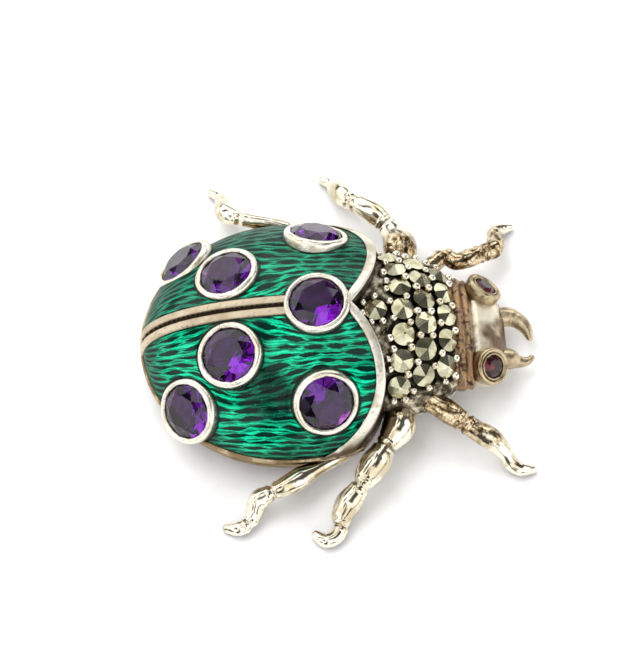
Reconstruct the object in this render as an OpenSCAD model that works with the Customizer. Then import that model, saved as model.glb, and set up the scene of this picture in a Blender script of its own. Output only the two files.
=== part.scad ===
// Ladybird brooch, in millimetres. It stands on its six feet at z = 0, with +X to the head, +Y to the
// beetle's left and +Z up. A cast silver body carries a domed wing case with two enamelled halves and
// seven bezels, a thorax field of small pyramid-cut stones, two eye stones and a pin behind.

/* [Stance] */
// Gap under the base ring, where the pin lies
ring_lift = 1.3; // [1.2:0.1:2]
// Height of the base ring
ring_h = 1.8; // [1.2:0.1:2.6]
// How far the base ring stays in from the wing case's edge
ring_inset = 0.3; // [0.1:0.05:0.6]
// How far the base ring reaches in under the wing case
ring_reach = 1.4; // [1:0.1:2]

/* [Wing case] */
// Half width of the wing case at its base
case_half_w = 11.6; // [10.8:0.1:13]
// Reach of the wing case behind the middle of the centre stone
case_rear = 15.35; // [14.6:0.05:18]
// Height of the crest above the base ring
case_h = 7.1; // [6.2:0.1:9]
// How far the widest place lies behind the centre stone
widest_back = 2.5; // [1.5:0.1:3.5]
// Reach of the base outline's ellipse ahead of its widest place
front_taper = 15; // [13.5:0.1:18]
// Place of the notch between the two fronts, ahead of the centre stone
front_notch = 3; // [2.8:0.1:3.4]
// How far each front bulges ahead of the notch
front_bulge = 2.55; // [1.8:0.05:3]
// Share of the half width at which each front is fullest
front_full = 0.53; // [0.45:0.01:0.6]
// Length of the corner where a front turns back along the side
front_corner = 7.5; // [6:0.1:9]
// Roundness of the cross section: 2 is an ellipse, less is more like a roof
section_power = 1.7; // [1.3:0.05:2]
// Roundness of the crest line from head to tail
crest_power = 2.4; // [2:0.1:3]
// Thickness of the silver plate under the enamel
plate_t = 0.7; // [0.5:0.05:1]
// Width of the raised rim along each front
rim_w = 0.75; // [0.5:0.05:1]
// Height of the plain silver edge along the base
edge_h = 0.45; // [0.3:0.05:0.8]
// Width of each of the twin rails along the seam
rail_w = 0.72; // [0.5:0.02:1]
// Width of the groove between the rails
groove_w = 0.4; // [0.25:0.05:0.6]
// Depth of the groove between the rails
groove_deep = 0.45; // [0.25:0.05:0.6]
// How far rims and rails stand above the enamel
rim_raise = 0.2; // [0.1:0.05:0.35]

/* [Enamel] */
// Thickness of the enamel
enamel_t = 0.5; // [0.35:0.05:0.7]

/* [Set stones] */
// Diameter of the seven set stones
stone_d = 5; // [4.4:0.1:5.4]
// Height of a stone's crown above its girdle
crown_h = 0.75; // [0.6:0.05:1.1]
// Depth of a stone's pavilion below its girdle
pavilion_h = 1.75; // [1.4:0.05:2]
// Diameter of a stone's table
table_d = 2.9; // [2.4:0.1:3.2]
// Wall of the bezels
bezel_wall = 0.36; // [0.3:0.02:0.7]
// Height of the bezels above the enamel
bezel_up = 0.4; // [0.35:0.05:0.7]
// How far a bezel's lip reaches over its stone
lip_over = 0.2; // [0.12:0.02:0.3]

/* [Thorax] */
// Half width of the thorax
thorax_half_w = 7.7; // [7.6:0.1:9]
// Height of the thorax above the base ring's top
thorax_h = 5.3; // [4.6:0.1:6]
// Place of the thorax's front edge, ahead of the centre stone
thorax_front = 11.9; // [11.6:0.1:12.6]
// Thickness of the thorax's wall
thorax_wall = 1.1; // [0.8:0.1:1.4]
// Diameter of the small thorax stones
small_d = 2; // [1.6:0.05:2.1]
// Gap between neighbouring thorax stones
small_space = 0.33; // [0.25:0.01:0.5]
// Height of a thorax stone's pyramid above its seat
small_h = 0.55; // [0.4:0.05:0.7]
// Depth of the round seats of the thorax stones
small_seat = 0.3; // [0.2:0.05:0.4]
// Diameter of the silver grains between them
grain_d = 0.72; // [0.5:0.02:0.8]

/* [Head] */
// Length of neck and head
head_len = 4.8; // [4.4:0.1:5.6]
// Half width of the neck
head_half_w = 5.5; // [5.4:0.1:6.4]
// Height of the neck's top above the standing surface
head_top = 6.1; // [5.6:0.1:6.6]
// Diameter of the eye stones
eye_d = 2.1; // [1.6:0.05:2.2]
// Wall of the eye collars
eye_wall = 0.5; // [0.3:0.02:0.55]
// Length of the eye collars
eye_collar = 1.5; // [1.2:0.1:2]
// Reach of the mandibles past the head
jaw_len = 2.5; // [2:0.1:3]
// Thickness of the mandibles at their roots
jaw_d = 2; // [1.6:0.1:2.2]

/* [Legs] */
// How far a unit of leg reaches out past the body's side
leg_reach = 6; // [5:0.1:7]
// Thickness of a leg at a full joint
leg_d = 2.2; // [1.6:0.1:2.4]

/* [Pin] */
// Thickness of the pin's stem
pin_d = 0.8; // [0.6:0.05:0.9]
// Width of the pin's hinge and catch blocks
pin_block = 1.6; // [1.4:0.1:2.4]

/* [Fits] */
// Gap between a piece and what it sits in
fit_gap = 0.03; // [0.02:0.01:0.06]

/* [Hidden] */
// Height of the base ring's top, where the wing case sits
base_z = ring_lift + ring_h;
// Depth that cutting shapes run past what they cut, and height of the thin discs that hulls run between
past = 1;
disc = 0.1;
// Ahead of this place the wing case's full dome is cut away
dome_end = front_notch + front_bulge + past;
// Rows from tail to head of the dome's facets, and columns across each half
dome_rows = 13;
dome_cols = 10;
// Sides of the body's sections, of limbs and of round collars
body_sides = 20;
limb_sides = 8;
collar_sides = 16;
// Outer and inner radius of the set stones' bezels, and the bore behind each stone
bezel_r = stone_d / 2 + fit_gap + bezel_wall;
bezel_bore_r = stone_d / 2 + fit_gap;
stone_ledge = 0.35;
stone_hole_r = stone_d / 2 - stone_ledge;
// Thickness of a stone's girdle, share of the crown that sinks in the bezel, and the girdle's height
// over the enamel's surface, along the bezel's axis
girdle_t = 0.14;
crown_sunk = 0.55;
girdle_up = bezel_up - crown_h * crown_sunk;
// The model is centred between its tail and the strong mandible, whose bend ends a little past jaw_len
tip_past = 0.15;
x_back = -(case_rear + rim_raise);
x_front = thorax_front + head_len + jaw_len + tip_past;
x_shift = -(x_back + x_front) / 2;

// Bezels: name, place ahead of the centre stone as a share of case_rear, place across as a share of
// case_half_w, tilt outwards and tilt forwards in degrees
SPOTS = [
    ["centre", 0.000, 0.000, 0, -4],
    ["front", 0.024, 0.700, 43, 9],
    ["mid", -0.495, 0.337, 15, -17],
    ["rear", -0.744, 0.623, 34, -37]
];

// Thorax stones: place of the row ahead of the centre stone as a share of thorax_front, stones in the
// row, and grains behind each gap of the row (1) or none (0)
SMALL_ROWS = [
    [0.425, 1, 0],
    [0.622, 7, 1],
    [0.787, 6, 1],
    [0.945, 5, 1]
];
// Backward bend of the rows towards the sides, and share of the half width that rounds them
row_bend = 0.017;
row_round = 1.15;

// Neck and head: place as a share of head_len, half width as a share of head_half_w, and the heights of
// top, middle and bottom as shares of head_top
HEAD_ROWS = [
    [0.030, 0.97, 0.940, 0.50, 0.230],
    [0.150, 0.99, 0.965, 0.50, 0.230],
    [0.230, 0.95, 0.890, 0.49, 0.235],
    [0.310, 0.96, 0.885, 0.48, 0.235],
    [0.385, 0.90, 0.800, 0.46, 0.240],
    [0.480, 0.91, 0.805, 0.45, 0.245],
    [0.625, 0.90, 0.750, 0.43, 0.250],
    [0.770, 0.84, 0.670, 0.41, 0.255],
    [0.895, 0.72, 0.570, 0.39, 0.260],
    [0.985, 0.48, 0.460, 0.37, 0.280]
];

// Eyes: place as a share of head_len, of head_half_w and of head_top, tilt outwards and forwards
EYE = [0.705, 0.735, 0.72, 30, 32];

// Mandibles, station by station: reach past the head as a share of jaw_len, place across as a share of
// jaw_len, height and half thickness as shares of jaw_d. The left one is strong and curved, the right one
// slender.
LEFT_JAW = [
    [-0.75, 0.66, 0.98, 0.44],
    [0.10, 0.84, 0.93, 0.45],
    [0.55, 0.68, 0.88, 0.38],
    [0.82, 0.36, 0.84, 0.29],
    [0.93, 0.00, 0.80, 0.16]
];
RIGHT_JAW = [
    [-0.75, -0.70, 1.00, 0.50],
    [0.08, -0.86, 0.95, 0.48],
    [0.45, -0.96, 0.88, 0.28],
    [0.74, -0.94, 0.84, 0.20],
    [0.92, -0.80, 0.80, 0.14]
];

// Legs: side (1 is left), place of the root as a share of thorax_front, and the stations. A station is
// forward and outward from the root at the body's side, as shares of leg_reach, height as a share of the
// base ring's top, and half thickness as a share of leg_d. Each leg was bent by hand, so left and right
// differ.
LEGS = [
    // Right rear
    [-1, 0.152, [
        [0.00, -0.08, 0.74, 0.30], [-0.37, 0.13, 0.81, 0.31], [-0.65, 0.28, 0.84, 0.44],
        [-0.88, 0.40, 0.81, 0.41], [-1.05, 0.45, 0.71, 0.31], [-1.25, 0.53, 0.58, 0.43],
        [-1.33, 0.68, 0.39, 0.33], [-1.42, 0.82, 0.25, 0.29], [-1.57, 0.88, 0.20, 0.29],
        [-1.73, 0.85, 0.13, 0.19]]],
    // Left rear
    [1, 0.1, [
        [0.00, -0.08, 0.70, 0.30], [-0.50, 0.11, 0.77, 0.30], [-0.92, 0.22, 0.84, 0.34],
        [-1.23, 0.31, 0.84, 0.31], [-1.45, 0.47, 0.68, 0.46], [-1.52, 0.70, 0.48, 0.30],
        [-1.55, 0.88, 0.29, 0.25], [-1.68, 1.01, 0.14, 0.18]]],
    // Right middle
    [-1, 0.58, [
        [0.00, -0.06, 1.03, 0.55], [-0.05, 0.183, 1.06, 0.67], [-0.16, 0.353, 1.03, 0.54],
        [-0.27, 0.483, 1.03, 0.40], [-0.40, 0.693, 1.03, 0.59], [-0.55, 0.893, 0.90, 0.52],
        [-0.64, 1.013, 0.84, 0.36], [-0.81, 1.193, 0.61, 0.52], [-0.93, 1.363, 0.42, 0.42],
        [-0.95, 1.503, 0.31, 0.31], [-1.03, 1.643, 0.23, 0.31], [-1.18, 1.697, 0.20, 0.30],
        [-1.31, 1.603, 0.17, 0.21]]],
    // Left middle
    [1, 0.6725, [
        [0.00, -0.04, 1.10, 0.60], [0.00, 0.233, 1.13, 0.72], [-0.08, 0.463, 1.10, 0.54],
        [-0.17, 0.633, 1.06, 0.40], [-0.33, 0.843, 1.03, 0.52], [-0.52, 1.013, 0.94, 0.47],
        [-0.66, 1.113, 0.84, 0.35], [-0.78, 1.323, 0.58, 0.50], [-0.88, 1.513, 0.39, 0.40],
        [-0.95, 1.643, 0.26, 0.27], [-1.08, 1.749, 0.16, 0.19]]],
    // Right front
    [-1, 0.807, [
        [0.00, -0.08, 1.16, 0.46], [0.25, 0.113, 1.16, 0.48], [0.45, 0.273, 1.10, 0.40],
        [0.63, 0.383, 0.97, 0.44], [0.82, 0.483, 0.84, 0.46], [1.00, 0.633, 0.58, 0.34],
        [1.10, 0.773, 0.35, 0.30], [1.24, 0.843, 0.23, 0.29], [1.41, 0.843, 0.15, 0.19]]],
    // Left front
    [1, 0.8735, [
        [0.00, -0.06, 1.16, 0.38], [0.25, 0.143, 1.16, 0.36], [0.42, 0.053, 1.13, 0.37],
        [0.63, 0.123, 1.06, 0.42], [0.83, 0.223, 0.97, 0.36], [1.00, 0.313, 0.84, 0.42],
        [1.08, 0.453, 0.71, 0.37], [1.07, 0.633, 0.52, 0.30], [1.13, 0.773, 0.35, 0.31],
        [1.23, 0.843, 0.24, 0.27], [1.35, 0.883, 0.16, 0.18]]]
];

// A number raised to a power with its sign kept
function signed_power(v, p) = sign(v) * pow(abs(v), p);

// Half width and crest height of the wing case at a place x, for a dome shrunk all round by t
function case_w(x, t) =
    let (d = x + widest_back, reach = (d < 0 ? case_rear - widest_back : front_taper) - t)
    (case_half_w - t) * sqrt(max(0, 1 - d * d / (reach * reach)));
function case_crest(x, t) =
    (case_h - t) * pow(max(0, 1 - pow(abs(x) / (case_rear - t), crest_power)), 1 / crest_power);

// A point of the shrunk dome at x and an angle across, from 90 at the left edge to -90 at the right
function case_point(x, a, t) = [
    x,
    case_w(x, t) * signed_power(sin(a), 2 / section_power),
    base_z + case_crest(x, t) * pow(abs(cos(a)), 2 / section_power)
];

// Height of the enamel's surface over a place
function case_z(x, y) =
    base_z + case_crest(x, 0)
    * pow(max(0, 1 - pow(abs(y) / case_w(x, 0), section_power)), 1 / section_power);

// Half width and top of the thorax at a place x. It narrows and sinks ahead of two places, on ellipses
// that would close a little past its front edge.
narrow_from = 7;
narrow_past = 2.15;
sink_from = 6;
sink_past = 1.3;
function ease(x, from, to) = sqrt(1 - pow(max(0, x - from) / (to - from), 2));
function thorax_w(x) = thorax_half_w * ease(x, narrow_from, thorax_front + narrow_past);
function thorax_rise(x) = thorax_h * ease(x, sink_from, thorax_front + sink_past);
// Roundness of the body's cross section on top, and squareness below and inside
thorax_power = 1.9;
under_power = 3;
hollow_power = 8;
function thorax_z(x, y) =
    base_z + thorax_rise(x) * pow(max(0, 1 - pow(abs(y) / thorax_w(x), thorax_power)), 1 / thorax_power);

// Turn that takes +Z to the thorax's surface normal
function thorax_turn(x, y) =
    let (
        step = 0.05,
        slope_x = (thorax_z(x + step, y) - thorax_z(x - step, y)) / (2 * step),
        slope_y = (thorax_z(x, y + step) - thorax_z(x, y - step)) / (2 * step)
    )
    [atan(slope_y * cos(atan(slope_x))), -atan(slope_x), 0];

// Half width of the body at a place x, where the legs leave it
function side_y(x) = x < front_notch ? case_w(x, 0) : thorax_w(x);

// Curve through rows of numbers, with a given number of steps between neighbours
function curve_point(a, b, c, d, t) =
    0.5 * (2 * b + (c - a) * t + (2 * a - 5 * b + 4 * c - d) * t * t + (3 * b - a - 3 * c + d) * t * t * t);
function curve(rows, steps) = [
    for (i = [0 : len(rows) - 2]) for (k = [0 : steps - 1])
        curve_point(rows[max(i - 1, 0)], rows[i], rows[i + 1], rows[min(i + 2, len(rows) - 1)], k / steps),
    rows[len(rows) - 1]
];

// Solid through closed rings of points that run anticlockwise as seen from the last ring
module loft(rings) {
    m = len(rings[0]);
    n = len(rings);
    polyhedron(
        points = [for (ring = rings) each ring],
        faces = [
            for (i = [0 : n - 2]) for (j = [0 : m - 1])
                each let (k = (j + 1) % m, a = i * m, b = (i + 1) * m)
                    [[a + j, b + j, b + k], [a + j, b + k, a + k]],
            [for (j = [0 : m - 1]) j],
            [for (j = [m - 1 : -1 : 0]) (n - 1) * m + j]
        ]
    );
}

// Ring of a limb at a point, square to a direction
function limb_ring(point, direction, r) =
    let (
        d = direction / norm(direction),
        side = cross([0, 0, 1], d),
        e1 = side / max(norm(side), 0.001),
        e2 = cross(d, e1)
    )
    [for (j = [0 : limb_sides - 1]) let (a = 360 * j / limb_sides) point + r * (cos(a) * e1 + sin(a) * e2)];

// Round tapering limb through stations of [x, y, z, half thickness], with rounded ends
module limb(stations, steps) {
    rows = curve(stations, steps);
    last = len(rows) - 1;
    spots = [for (row = rows) [row[0], row[1], row[2]]];
    headings = [for (i = [0 : last]) spots[min(i + 1, last)] - spots[max(i - 1, 0)]];
    tip = headings[last] / norm(headings[last]);
    root = headings[0] / norm(headings[0]);
    loft(concat(
        [limb_ring(spots[0] - root * rows[0][3] * 0.6, root, rows[0][3] * 0.7)],
        [for (i = [0 : last]) limb_ring(spots[i], headings[i], rows[i][3])],
        [
            limb_ring(spots[last] + tip * rows[last][3] * 0.6, tip, rows[last][3] * 0.8),
            limb_ring(spots[last] + tip * rows[last][3] * 0.95, tip, rows[last][3] * 0.35)
        ]
    ));
}

// The wing case's dome ahead of its tail, shrunk all round by t, with a skirt below its base. It spans
// the angles across from a_left to a_right: 90 to -90 is the whole dome.
module case_dome(t, a_left = 90, a_right = -90) {
    x0 = -(case_rear - t);
    places = [for (i = [1 : dome_rows]) x0 + (dome_end - x0) * (1 - cos(90 * i / dome_rows))];
    cols = round(dome_cols * (a_left - a_right) / 90);
    n = cols + 3;
    skirt_z = base_z - past;
    points = concat(
        [[x0, 0, base_z], [x0, 0, skirt_z]],
        [for (x = places) let (
            arch = [for (j = [0 : cols]) case_point(x, a_left + (a_right - a_left) * j / cols, t)]
        )
            each concat([[x, arch[0][1], skirt_z]], arch, [[x, arch[cols][1], skirt_z]])]
    );
    polyhedron(
        points = points,
        faces = [
            for (j = [1 : n - 3]) [0, 2 + j, 3 + j],
            [1, 2, 3, 0],
            [0, n, n + 1, 1],
            for (i = [0 : dome_rows - 2]) for (j = [0 : n - 2])
                each let (a = 2 + i * n + j, b = a + n)
                    [[a, b, b + 1], [a, b + 1, a + 1]],
            [for (j = [n - 1 : -1 : 0]) 2 + (dome_rows - 1) * n + j],
            concat(
                [1],
                [for (i = [0 : dome_rows - 1]) 2 + i * n + n - 1],
                [for (i = [dome_rows - 1 : -1 : 0]) 2 + i * n]
            )
        ]
    );
}

// Plan of everything behind the two rounded fronts. Each front ends outside the base, at this share of
// its half width.
corner_end = 1.08;
function front_half(side) = concat(
    [for (k = [0 : 7]) let (s = k / 8)
        [front_notch + front_bulge * (1 - pow(1 - s, 2)), side * s * front_full * case_half_w]],
    [for (k = [0 : 8]) let (a = 90 * k / 8)
        [front_notch + front_bulge - front_corner * (1 - cos(a)),
            side * case_half_w * (front_full + (corner_end - front_full) * sin(a))]],
    [[-2 * case_rear, side * case_half_w * corner_end]]
);
module behind_fronts(shrink) {
    left = front_half(1);
    right = front_half(-1);
    offset(delta = -shrink)
        polygon(concat([for (i = [len(right) - 1 : -1 : 1]) right[i]], left));
}

// Outline of the wing case's base, in plan
module case_plan(grow) {
    intersection() {
        behind_fronts(-grow);
        polygon([
            for (a = [0 : 12 : 348]) let (
                reach = cos(a) < 0 ? case_rear - widest_back : front_taper
            )
                [cos(a) * (reach + grow) - widest_back, sin(a) * (case_half_w + grow)]
        ]);
    }
}

// Upright slab of a plan, from one height up
module upright(from_z, height) {
    translate([0, 0, from_z])
        linear_extrude(height)
            children();
}

// The side of the seam that a half of the wing case lies on, clear of the rails
module seam_side(side, clear) {
    reach = 2 * case_half_w;
    inner = groove_w / 2 + rail_w + clear;
    translate([-2 * case_rear, side > 0 ? inner : -inner - reach])
        square([4 * case_rear, reach]);
}

// Room for one half's enamel: from t_top down to t_floor below the enamel's surface, held back from
// rim, rails and edge by clear
module enamel_room(side, t_top, t_floor, clear) {
    difference() {
        intersection() {
            case_dome(t_top, side > 0 ? 90 : 0, side > 0 ? 0 : -90);
            upright(base_z + edge_h + clear, 2 * case_h)
                intersection() {
                    behind_fronts(rim_w + clear);
                    seam_side(side, clear);
                }
        }
        case_dome(t_floor, side > 0 ? 90 : 0, side > 0 ? 0 : -90);
    }
}

// Puts its children at a bezel, with z along the bezel's axis from the enamel's surface
module at_spot(spot, side) {
    x = spot[1] * case_rear;
    y = spot[2] * case_half_w;
    translate([x, side * y, case_z(x, y)])
        rotate([-side * spot[3], 0, 0])
            rotate([0, spot[4], 0])
                children();
}
module at_each_spot() {
    for (spot = SPOTS)
        for (side = spot[2] > 0 ? [-1, 1] : [1])
            at_spot(spot, side)
                children();
}

// Body of one bezel, a little barrel that leans in at the lip
lip_h = 0.2;
lip_lean = 0.2;
module bezel_body() {
    foot_z = -enamel_t - plate_t / 2;
    brow_z = bezel_up - lip_h - 2 * disc;
    hull() {
        translate([0, 0, foot_z])
            cylinder(r = bezel_r - disc, h = disc, $fn = collar_sides);
        translate([0, 0, brow_z])
            cylinder(r = bezel_r, h = disc, $fn = collar_sides);
    }
    hull() {
        translate([0, 0, brow_z])
            cylinder(r = bezel_r, h = disc, $fn = collar_sides);
        translate([0, 0, bezel_up - disc / 2])
            cylinder(r = bezel_r - lip_lean, h = disc / 2, $fn = collar_sides);
    }
}

// Hole through a bezel: room for the stone, the lip over it and the open back below
module bezel_hole() {
    seat_z = girdle_up - girdle_t / 2 - fit_gap;
    lip_z = girdle_up + girdle_t / 2 + fit_gap;
    rotate_extrude($fn = collar_sides)
        polygon([
            [0, -enamel_t - plate_t - 2 * past],
            [stone_hole_r, -enamel_t - plate_t - 2 * past],
            [stone_hole_r, seat_z - stone_ledge],
            [bezel_bore_r, seat_z],
            [bezel_bore_r, lip_z],
            [stone_d / 2 - lip_over, lip_z + lip_h],
            [stone_d / 2 - lip_over, bezel_up + past],
            [0, bezel_up + past]
        ]);
}

// Domed silver plate with rims, rails and bezels, and a wall down its front
module wing_case() {
    color("silver")
        difference() {
            union() {
                difference() {
                    intersection() {
                        case_dome(-rim_raise);
                        upright(base_z + fit_gap, 2 * case_h)
                            behind_fronts(0);
                    }
                    intersection() {
                        case_dome(enamel_t + plate_t);
                        upright(base_z - past, 2 * case_h)
                            behind_fronts(rim_w);
                    }
                    for (side = [-1, 1])
                        enamel_room(side, -past, enamel_t, 0);
                    difference() {
                        translate([-2 * case_rear, -groove_w / 2, base_z + edge_h])
                            cube([4 * case_rear, groove_w, 2 * case_h]);
                        case_dome(groove_deep - rim_raise);
                    }
                }
                at_each_spot()
                    bezel_body();
            }
            at_each_spot()
                bezel_hole();
        }
}

// Room for one bezel in the enamel: straight down the bezel's wall, and opening a little upwards
module bezel_room() {
    reach = 2 * past;
    hull()
        for (z = [-reach, -disc])
            translate([0, 0, z])
                cylinder(r = bezel_r + fit_gap, h = disc, $fn = collar_sides);
    hull()
        for (z = [-disc, reach])
            translate([0, 0, z])
                cylinder(r = bezel_r + fit_gap + (z > 0 ? disc : 0), h = disc, $fn = collar_sides);
}

// Green enamel of one half, laid in its room and round the bezels
module enamel(side) {
    color("seagreen")
        difference() {
            enamel_room(side, 0, enamel_t - fit_gap, fit_gap);
            at_each_spot()
                bezel_room();
        }
}
module enamel_left() enamel(1);
module enamel_right() enamel(-1);

// Round brilliant: a table, eight kite facets, stars, upper girdle facets and a sixteen-sided pavilion.
// The kites' outer corners lie at kite_corner of the radius.
kite_corner = 0.84;
module brilliant(d, table, crown, pavilion) {
    r = d / 2;
    rt = table / 2;
    mid_r = r * kite_corner;
    mid_z = crown - (mid_r * cos(22.5) - rt) / (r - rt) * crown;
    g = girdle_t / 2;
    points = concat(
        [for (k = [0 : 7]) [rt * cos(45 * k), rt * sin(45 * k), g + crown]],
        [for (k = [0 : 7]) [mid_r * cos(45 * k + 22.5), mid_r * sin(45 * k + 22.5), g + mid_z]],
        [for (k = [0 : 15]) [r * cos(22.5 * k), r * sin(22.5 * k), g]],
        [for (k = [0 : 15]) [r * cos(22.5 * k), r * sin(22.5 * k), -g]],
        [[0, 0, -g - pavilion]]
    );
    polyhedron(
        points = points,
        faces = [
            [for (k = [7 : -1 : 0]) k],
            for (k = [0 : 7])
                each let (next = (k + 1) % 8, before = (k + 7) % 8, mid = 8 + k, g0 = 16 + 2 * k,
                    g1 = 17 + 2 * k, g2 = 16 + (2 * k + 2) % 16)
                    [[k, next, mid], [8 + before, k, g0], [k, mid, g0], [mid, g1, g0], [mid, g2, g1]],
            for (k = [0 : 15])
                each let (next = (k + 1) % 16)
                    [[16 + k, 16 + next, 32 + next], [16 + k, 32 + next, 32 + k], [32 + k, 32 + next, 48]]
        ]
    );
}

// A set stone in its bezel
module amethyst(name, side) {
    color("indigo")
        for (spot = SPOTS)
            if (spot[0] == name)
                at_spot(spot, side)
                    translate([0, 0, girdle_up])
                        brilliant(stone_d, table_d, crown_h, pavilion_h);
}
module amethyst_centre() amethyst("centre", 1);
module amethyst_front_left() amethyst("front", 1);
module amethyst_front_right() amethyst("front", -1);
module amethyst_mid_left() amethyst("mid", 1);
module amethyst_mid_right() amethyst("mid", -1);
module amethyst_rear_left() amethyst("rear", 1);
module amethyst_rear_right() amethyst("rear", -1);

// Places of the thorax stones, row by row: [x, y]
pitch = small_d + small_space;
function row_point(x, steps) =
    let (round_r = row_round * thorax_half_w, y = round_r * sin(steps * pitch / round_r * 180 / PI))
    [x - row_bend * y * y, y];
function row_steps(count) = [for (k = [0 : count - 1]) k - (count - 1) / 2];
SMALL_PLACES = [
    for (row = SMALL_ROWS) for (s = row_steps(row[1]))
        row_point(row[0] * thorax_front, s)
];
// Places of the grains: before and behind each gap between two stones of a row, by this share of pitch
grain_shift = 0.42;
GRAIN_PLACES = [
    for (row = SMALL_ROWS) if (row[2] > 0)
        for (s = row_steps(row[1] - 1)) for (shift = [-grain_shift, grain_shift])
            row_point(row[0] * thorax_front + shift * pitch, s)
];

// Puts its children on the thorax's surface, with z along its normal
module on_thorax(place) {
    translate([place[0], place[1], thorax_z(place[0], place[1])])
        rotate(thorax_turn(place[0], place[1]))
            children();
}

// Pyramid-cut stone: a small table, six main facets and a round girdle, small_edge above the surface
small_edge = 0.14;
module small_stone() {
    r = small_d / 2;
    table_r = small_d / 10;
    foot_r = 0.8 * r;
    low = fit_gap - small_seat;
    edge = small_edge;
    slope = (small_h - edge) / (r - table_r);
    dip = slope * r * (1 / cos(30) - 1);
    points = concat(
        [for (k = [0 : 5]) [table_r * cos(60 * k), table_r * sin(60 * k), small_h]],
        [for (k = [0 : 11]) [r * cos(30 * k), r * sin(30 * k), edge - (k % 2) * dip]],
        [for (k = [0 : 5]) [foot_r * cos(60 * k), foot_r * sin(60 * k), low]]
    );
    polyhedron(
        points = points,
        faces = [
            [for (k = [5 : -1 : 0]) k],
            for (k = [0 : 5])
                each let (next = (k + 1) % 6, g0 = 6 + 2 * k, g1 = 7 + 2 * k, g2 = 6 + (2 * k + 2) % 12)
                    [[k, next, g2], [k, g2, g0], [g0, g2, g1],
                        [g0, g1, 18 + k], [g1, 18 + next, 18 + k], [g1, g2, 18 + next]],
            [for (k = [0 : 5]) 18 + k]
        ]
    );
}

// The field of stones on the thorax
module thorax_stones() {
    color("darkkhaki")
        for (place = SMALL_PLACES)
            on_thorax(place)
                small_stone();
}

// Closed section of thorax or head at x: half width, top, middle and bottom
function body_ring(x, w, top, middle, bottom, low_power) = [
    for (j = [0 : body_sides - 1]) let (
        a = 360 * j / body_sides,
        up = sin(a) >= 0,
        p = up ? thorax_power : low_power,
        half_h = up ? top - middle : middle - bottom
    )
        [x, w * signed_power(cos(a), 2 / p), middle + half_h * signed_power(sin(a), 2 / p)]
];

// Solid thorax, shrunk by a wall, down to a given height
thorax_rows = 6;
module thorax(wall, bottom, low_power) {
    x0 = front_notch - 2 * past;
    x1 = thorax_front - wall;
    loft([
        for (i = [0 : thorax_rows]) let (x = x0 + (x1 - x0) * sin(90 * i / thorax_rows))
            body_ring(x, thorax_w(x) - wall, base_z + thorax_rise(x) - wall, base_z, bottom, low_power)
    ]);
}

// Neck ridges and head
module head() {
    joint = body_ring(thorax_front - thorax_wall, thorax_w(thorax_front) - thorax_wall / 2,
        head_top - thorax_wall, base_z, ring_lift, under_power);
    loft(concat([joint], [
        for (row = HEAD_ROWS)
            body_ring(thorax_front + row[0] * head_len, row[1] * head_half_w,
                row[2] * head_top, row[3] * head_top, row[4] * head_top, under_power)
    ]));
}

// Puts its children at an eye, with z out along the collar from its lip
module at_eye(side) {
    translate([thorax_front + EYE[0] * head_len, side * EYE[1] * head_half_w, EYE[2] * head_top])
        rotate([-side * EYE[3], 0, 0])
            rotate([0, EYE[4], 0])
                children();
}

// An eye's round collar, an eye stone's crown and pavilion, and the depths of its girdle and its seat
eye_crown = 0.3;
eye_pavilion = 0.55;
eye_sunk = 0.25;
eye_seat = 1;
module eye_collar_body() {
    hull() {
        translate([0, 0, -eye_collar])
            cylinder(r = eye_d / 2 + fit_gap + eye_wall, h = eye_collar - disc, $fn = collar_sides);
        translate([0, 0, -disc / 2])
            cylinder(r = eye_d / 2 + fit_gap + eye_wall / 2, h = disc / 2, $fn = collar_sides);
    }
}
module eye_stone(side) {
    color("darkred")
        at_eye(side)
            translate([0, 0, -eye_sunk])
                brilliant(eye_d, 0.6 * eye_d, eye_crown, eye_pavilion);
}
module eye_stone_left() eye_stone(1);
module eye_stone_right() eye_stone(-1);

// Mandible through its stations
module jaw(stations) {
    tip_x = thorax_front + head_len;
    limb([
        for (s = stations)
            [tip_x + s[0] * jaw_len, s[1] * jaw_len, s[2] * jaw_d, s[3] * jaw_d]
    ], 2);
}

// One bent leg through its stations
module leg(side, root_x, stations) {
    limb([
        for (s = stations)
            [root_x + s[0] * leg_reach, side * (side_y(root_x) + s[1] * leg_reach),
                max(s[2] * base_z, s[3] * leg_d), s[3] * leg_d]
    ], 2);
}

// Places of the pin's hinge block, on a pad under the neck, and of its catch block, under the base ring
hinge_x = thorax_front + head_len / 10;
catch_x = -(case_rear - (ring_inset + ring_reach) / 2);
module hinge_pad() {
    translate([hinge_x - pin_block / 2, -pin_block / 2, ring_lift])
        cube([pin_block, pin_block, past]);
}

// Silver body, soldered to one piece: base ring, thorax, neck, head, eye collars, mandibles and legs
module silver_body() {
    color("lightgray")
        difference() {
            union() {
                upright(ring_lift, ring_h)
                    case_plan(-ring_inset);
                difference() {
                    thorax(0, ring_lift, under_power);
                    upright(base_z, 2 * case_h)
                        behind_fronts(-fit_gap);
                }
                head();
                hinge_pad();
                for (side = [-1, 1])
                    at_eye(side)
                        eye_collar_body();
                jaw(LEFT_JAW);
                jaw(RIGHT_JAW);
                for (row = LEGS)
                    leg(row[0], row[1] * thorax_front, row[2]);
                for (place = GRAIN_PLACES)
                    on_thorax(place)
                        hull() {
                            cylinder(d = grain_d, h = grain_d / 2, center = true, $fn = 5);
                            cylinder(d = grain_d / 2, h = grain_d, center = true, $fn = 5);
                        }
            }
            upright(ring_lift - past, ring_h + 2 * past)
                case_plan(-ring_reach);
            thorax(thorax_wall, ring_lift - past, hollow_power);
            for (place = SMALL_PLACES)
                on_thorax(place)
                    translate([0, 0, -small_seat])
                        cylinder(d = small_d + 2 * fit_gap, h = small_seat + past, $fn = 12);
            for (side = [-1, 1])
                at_eye(side)
                    translate([0, 0, -eye_seat])
                        cylinder(d = eye_d + 2 * fit_gap, h = eye_seat + past, $fn = collar_sides);
        }
}

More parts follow.
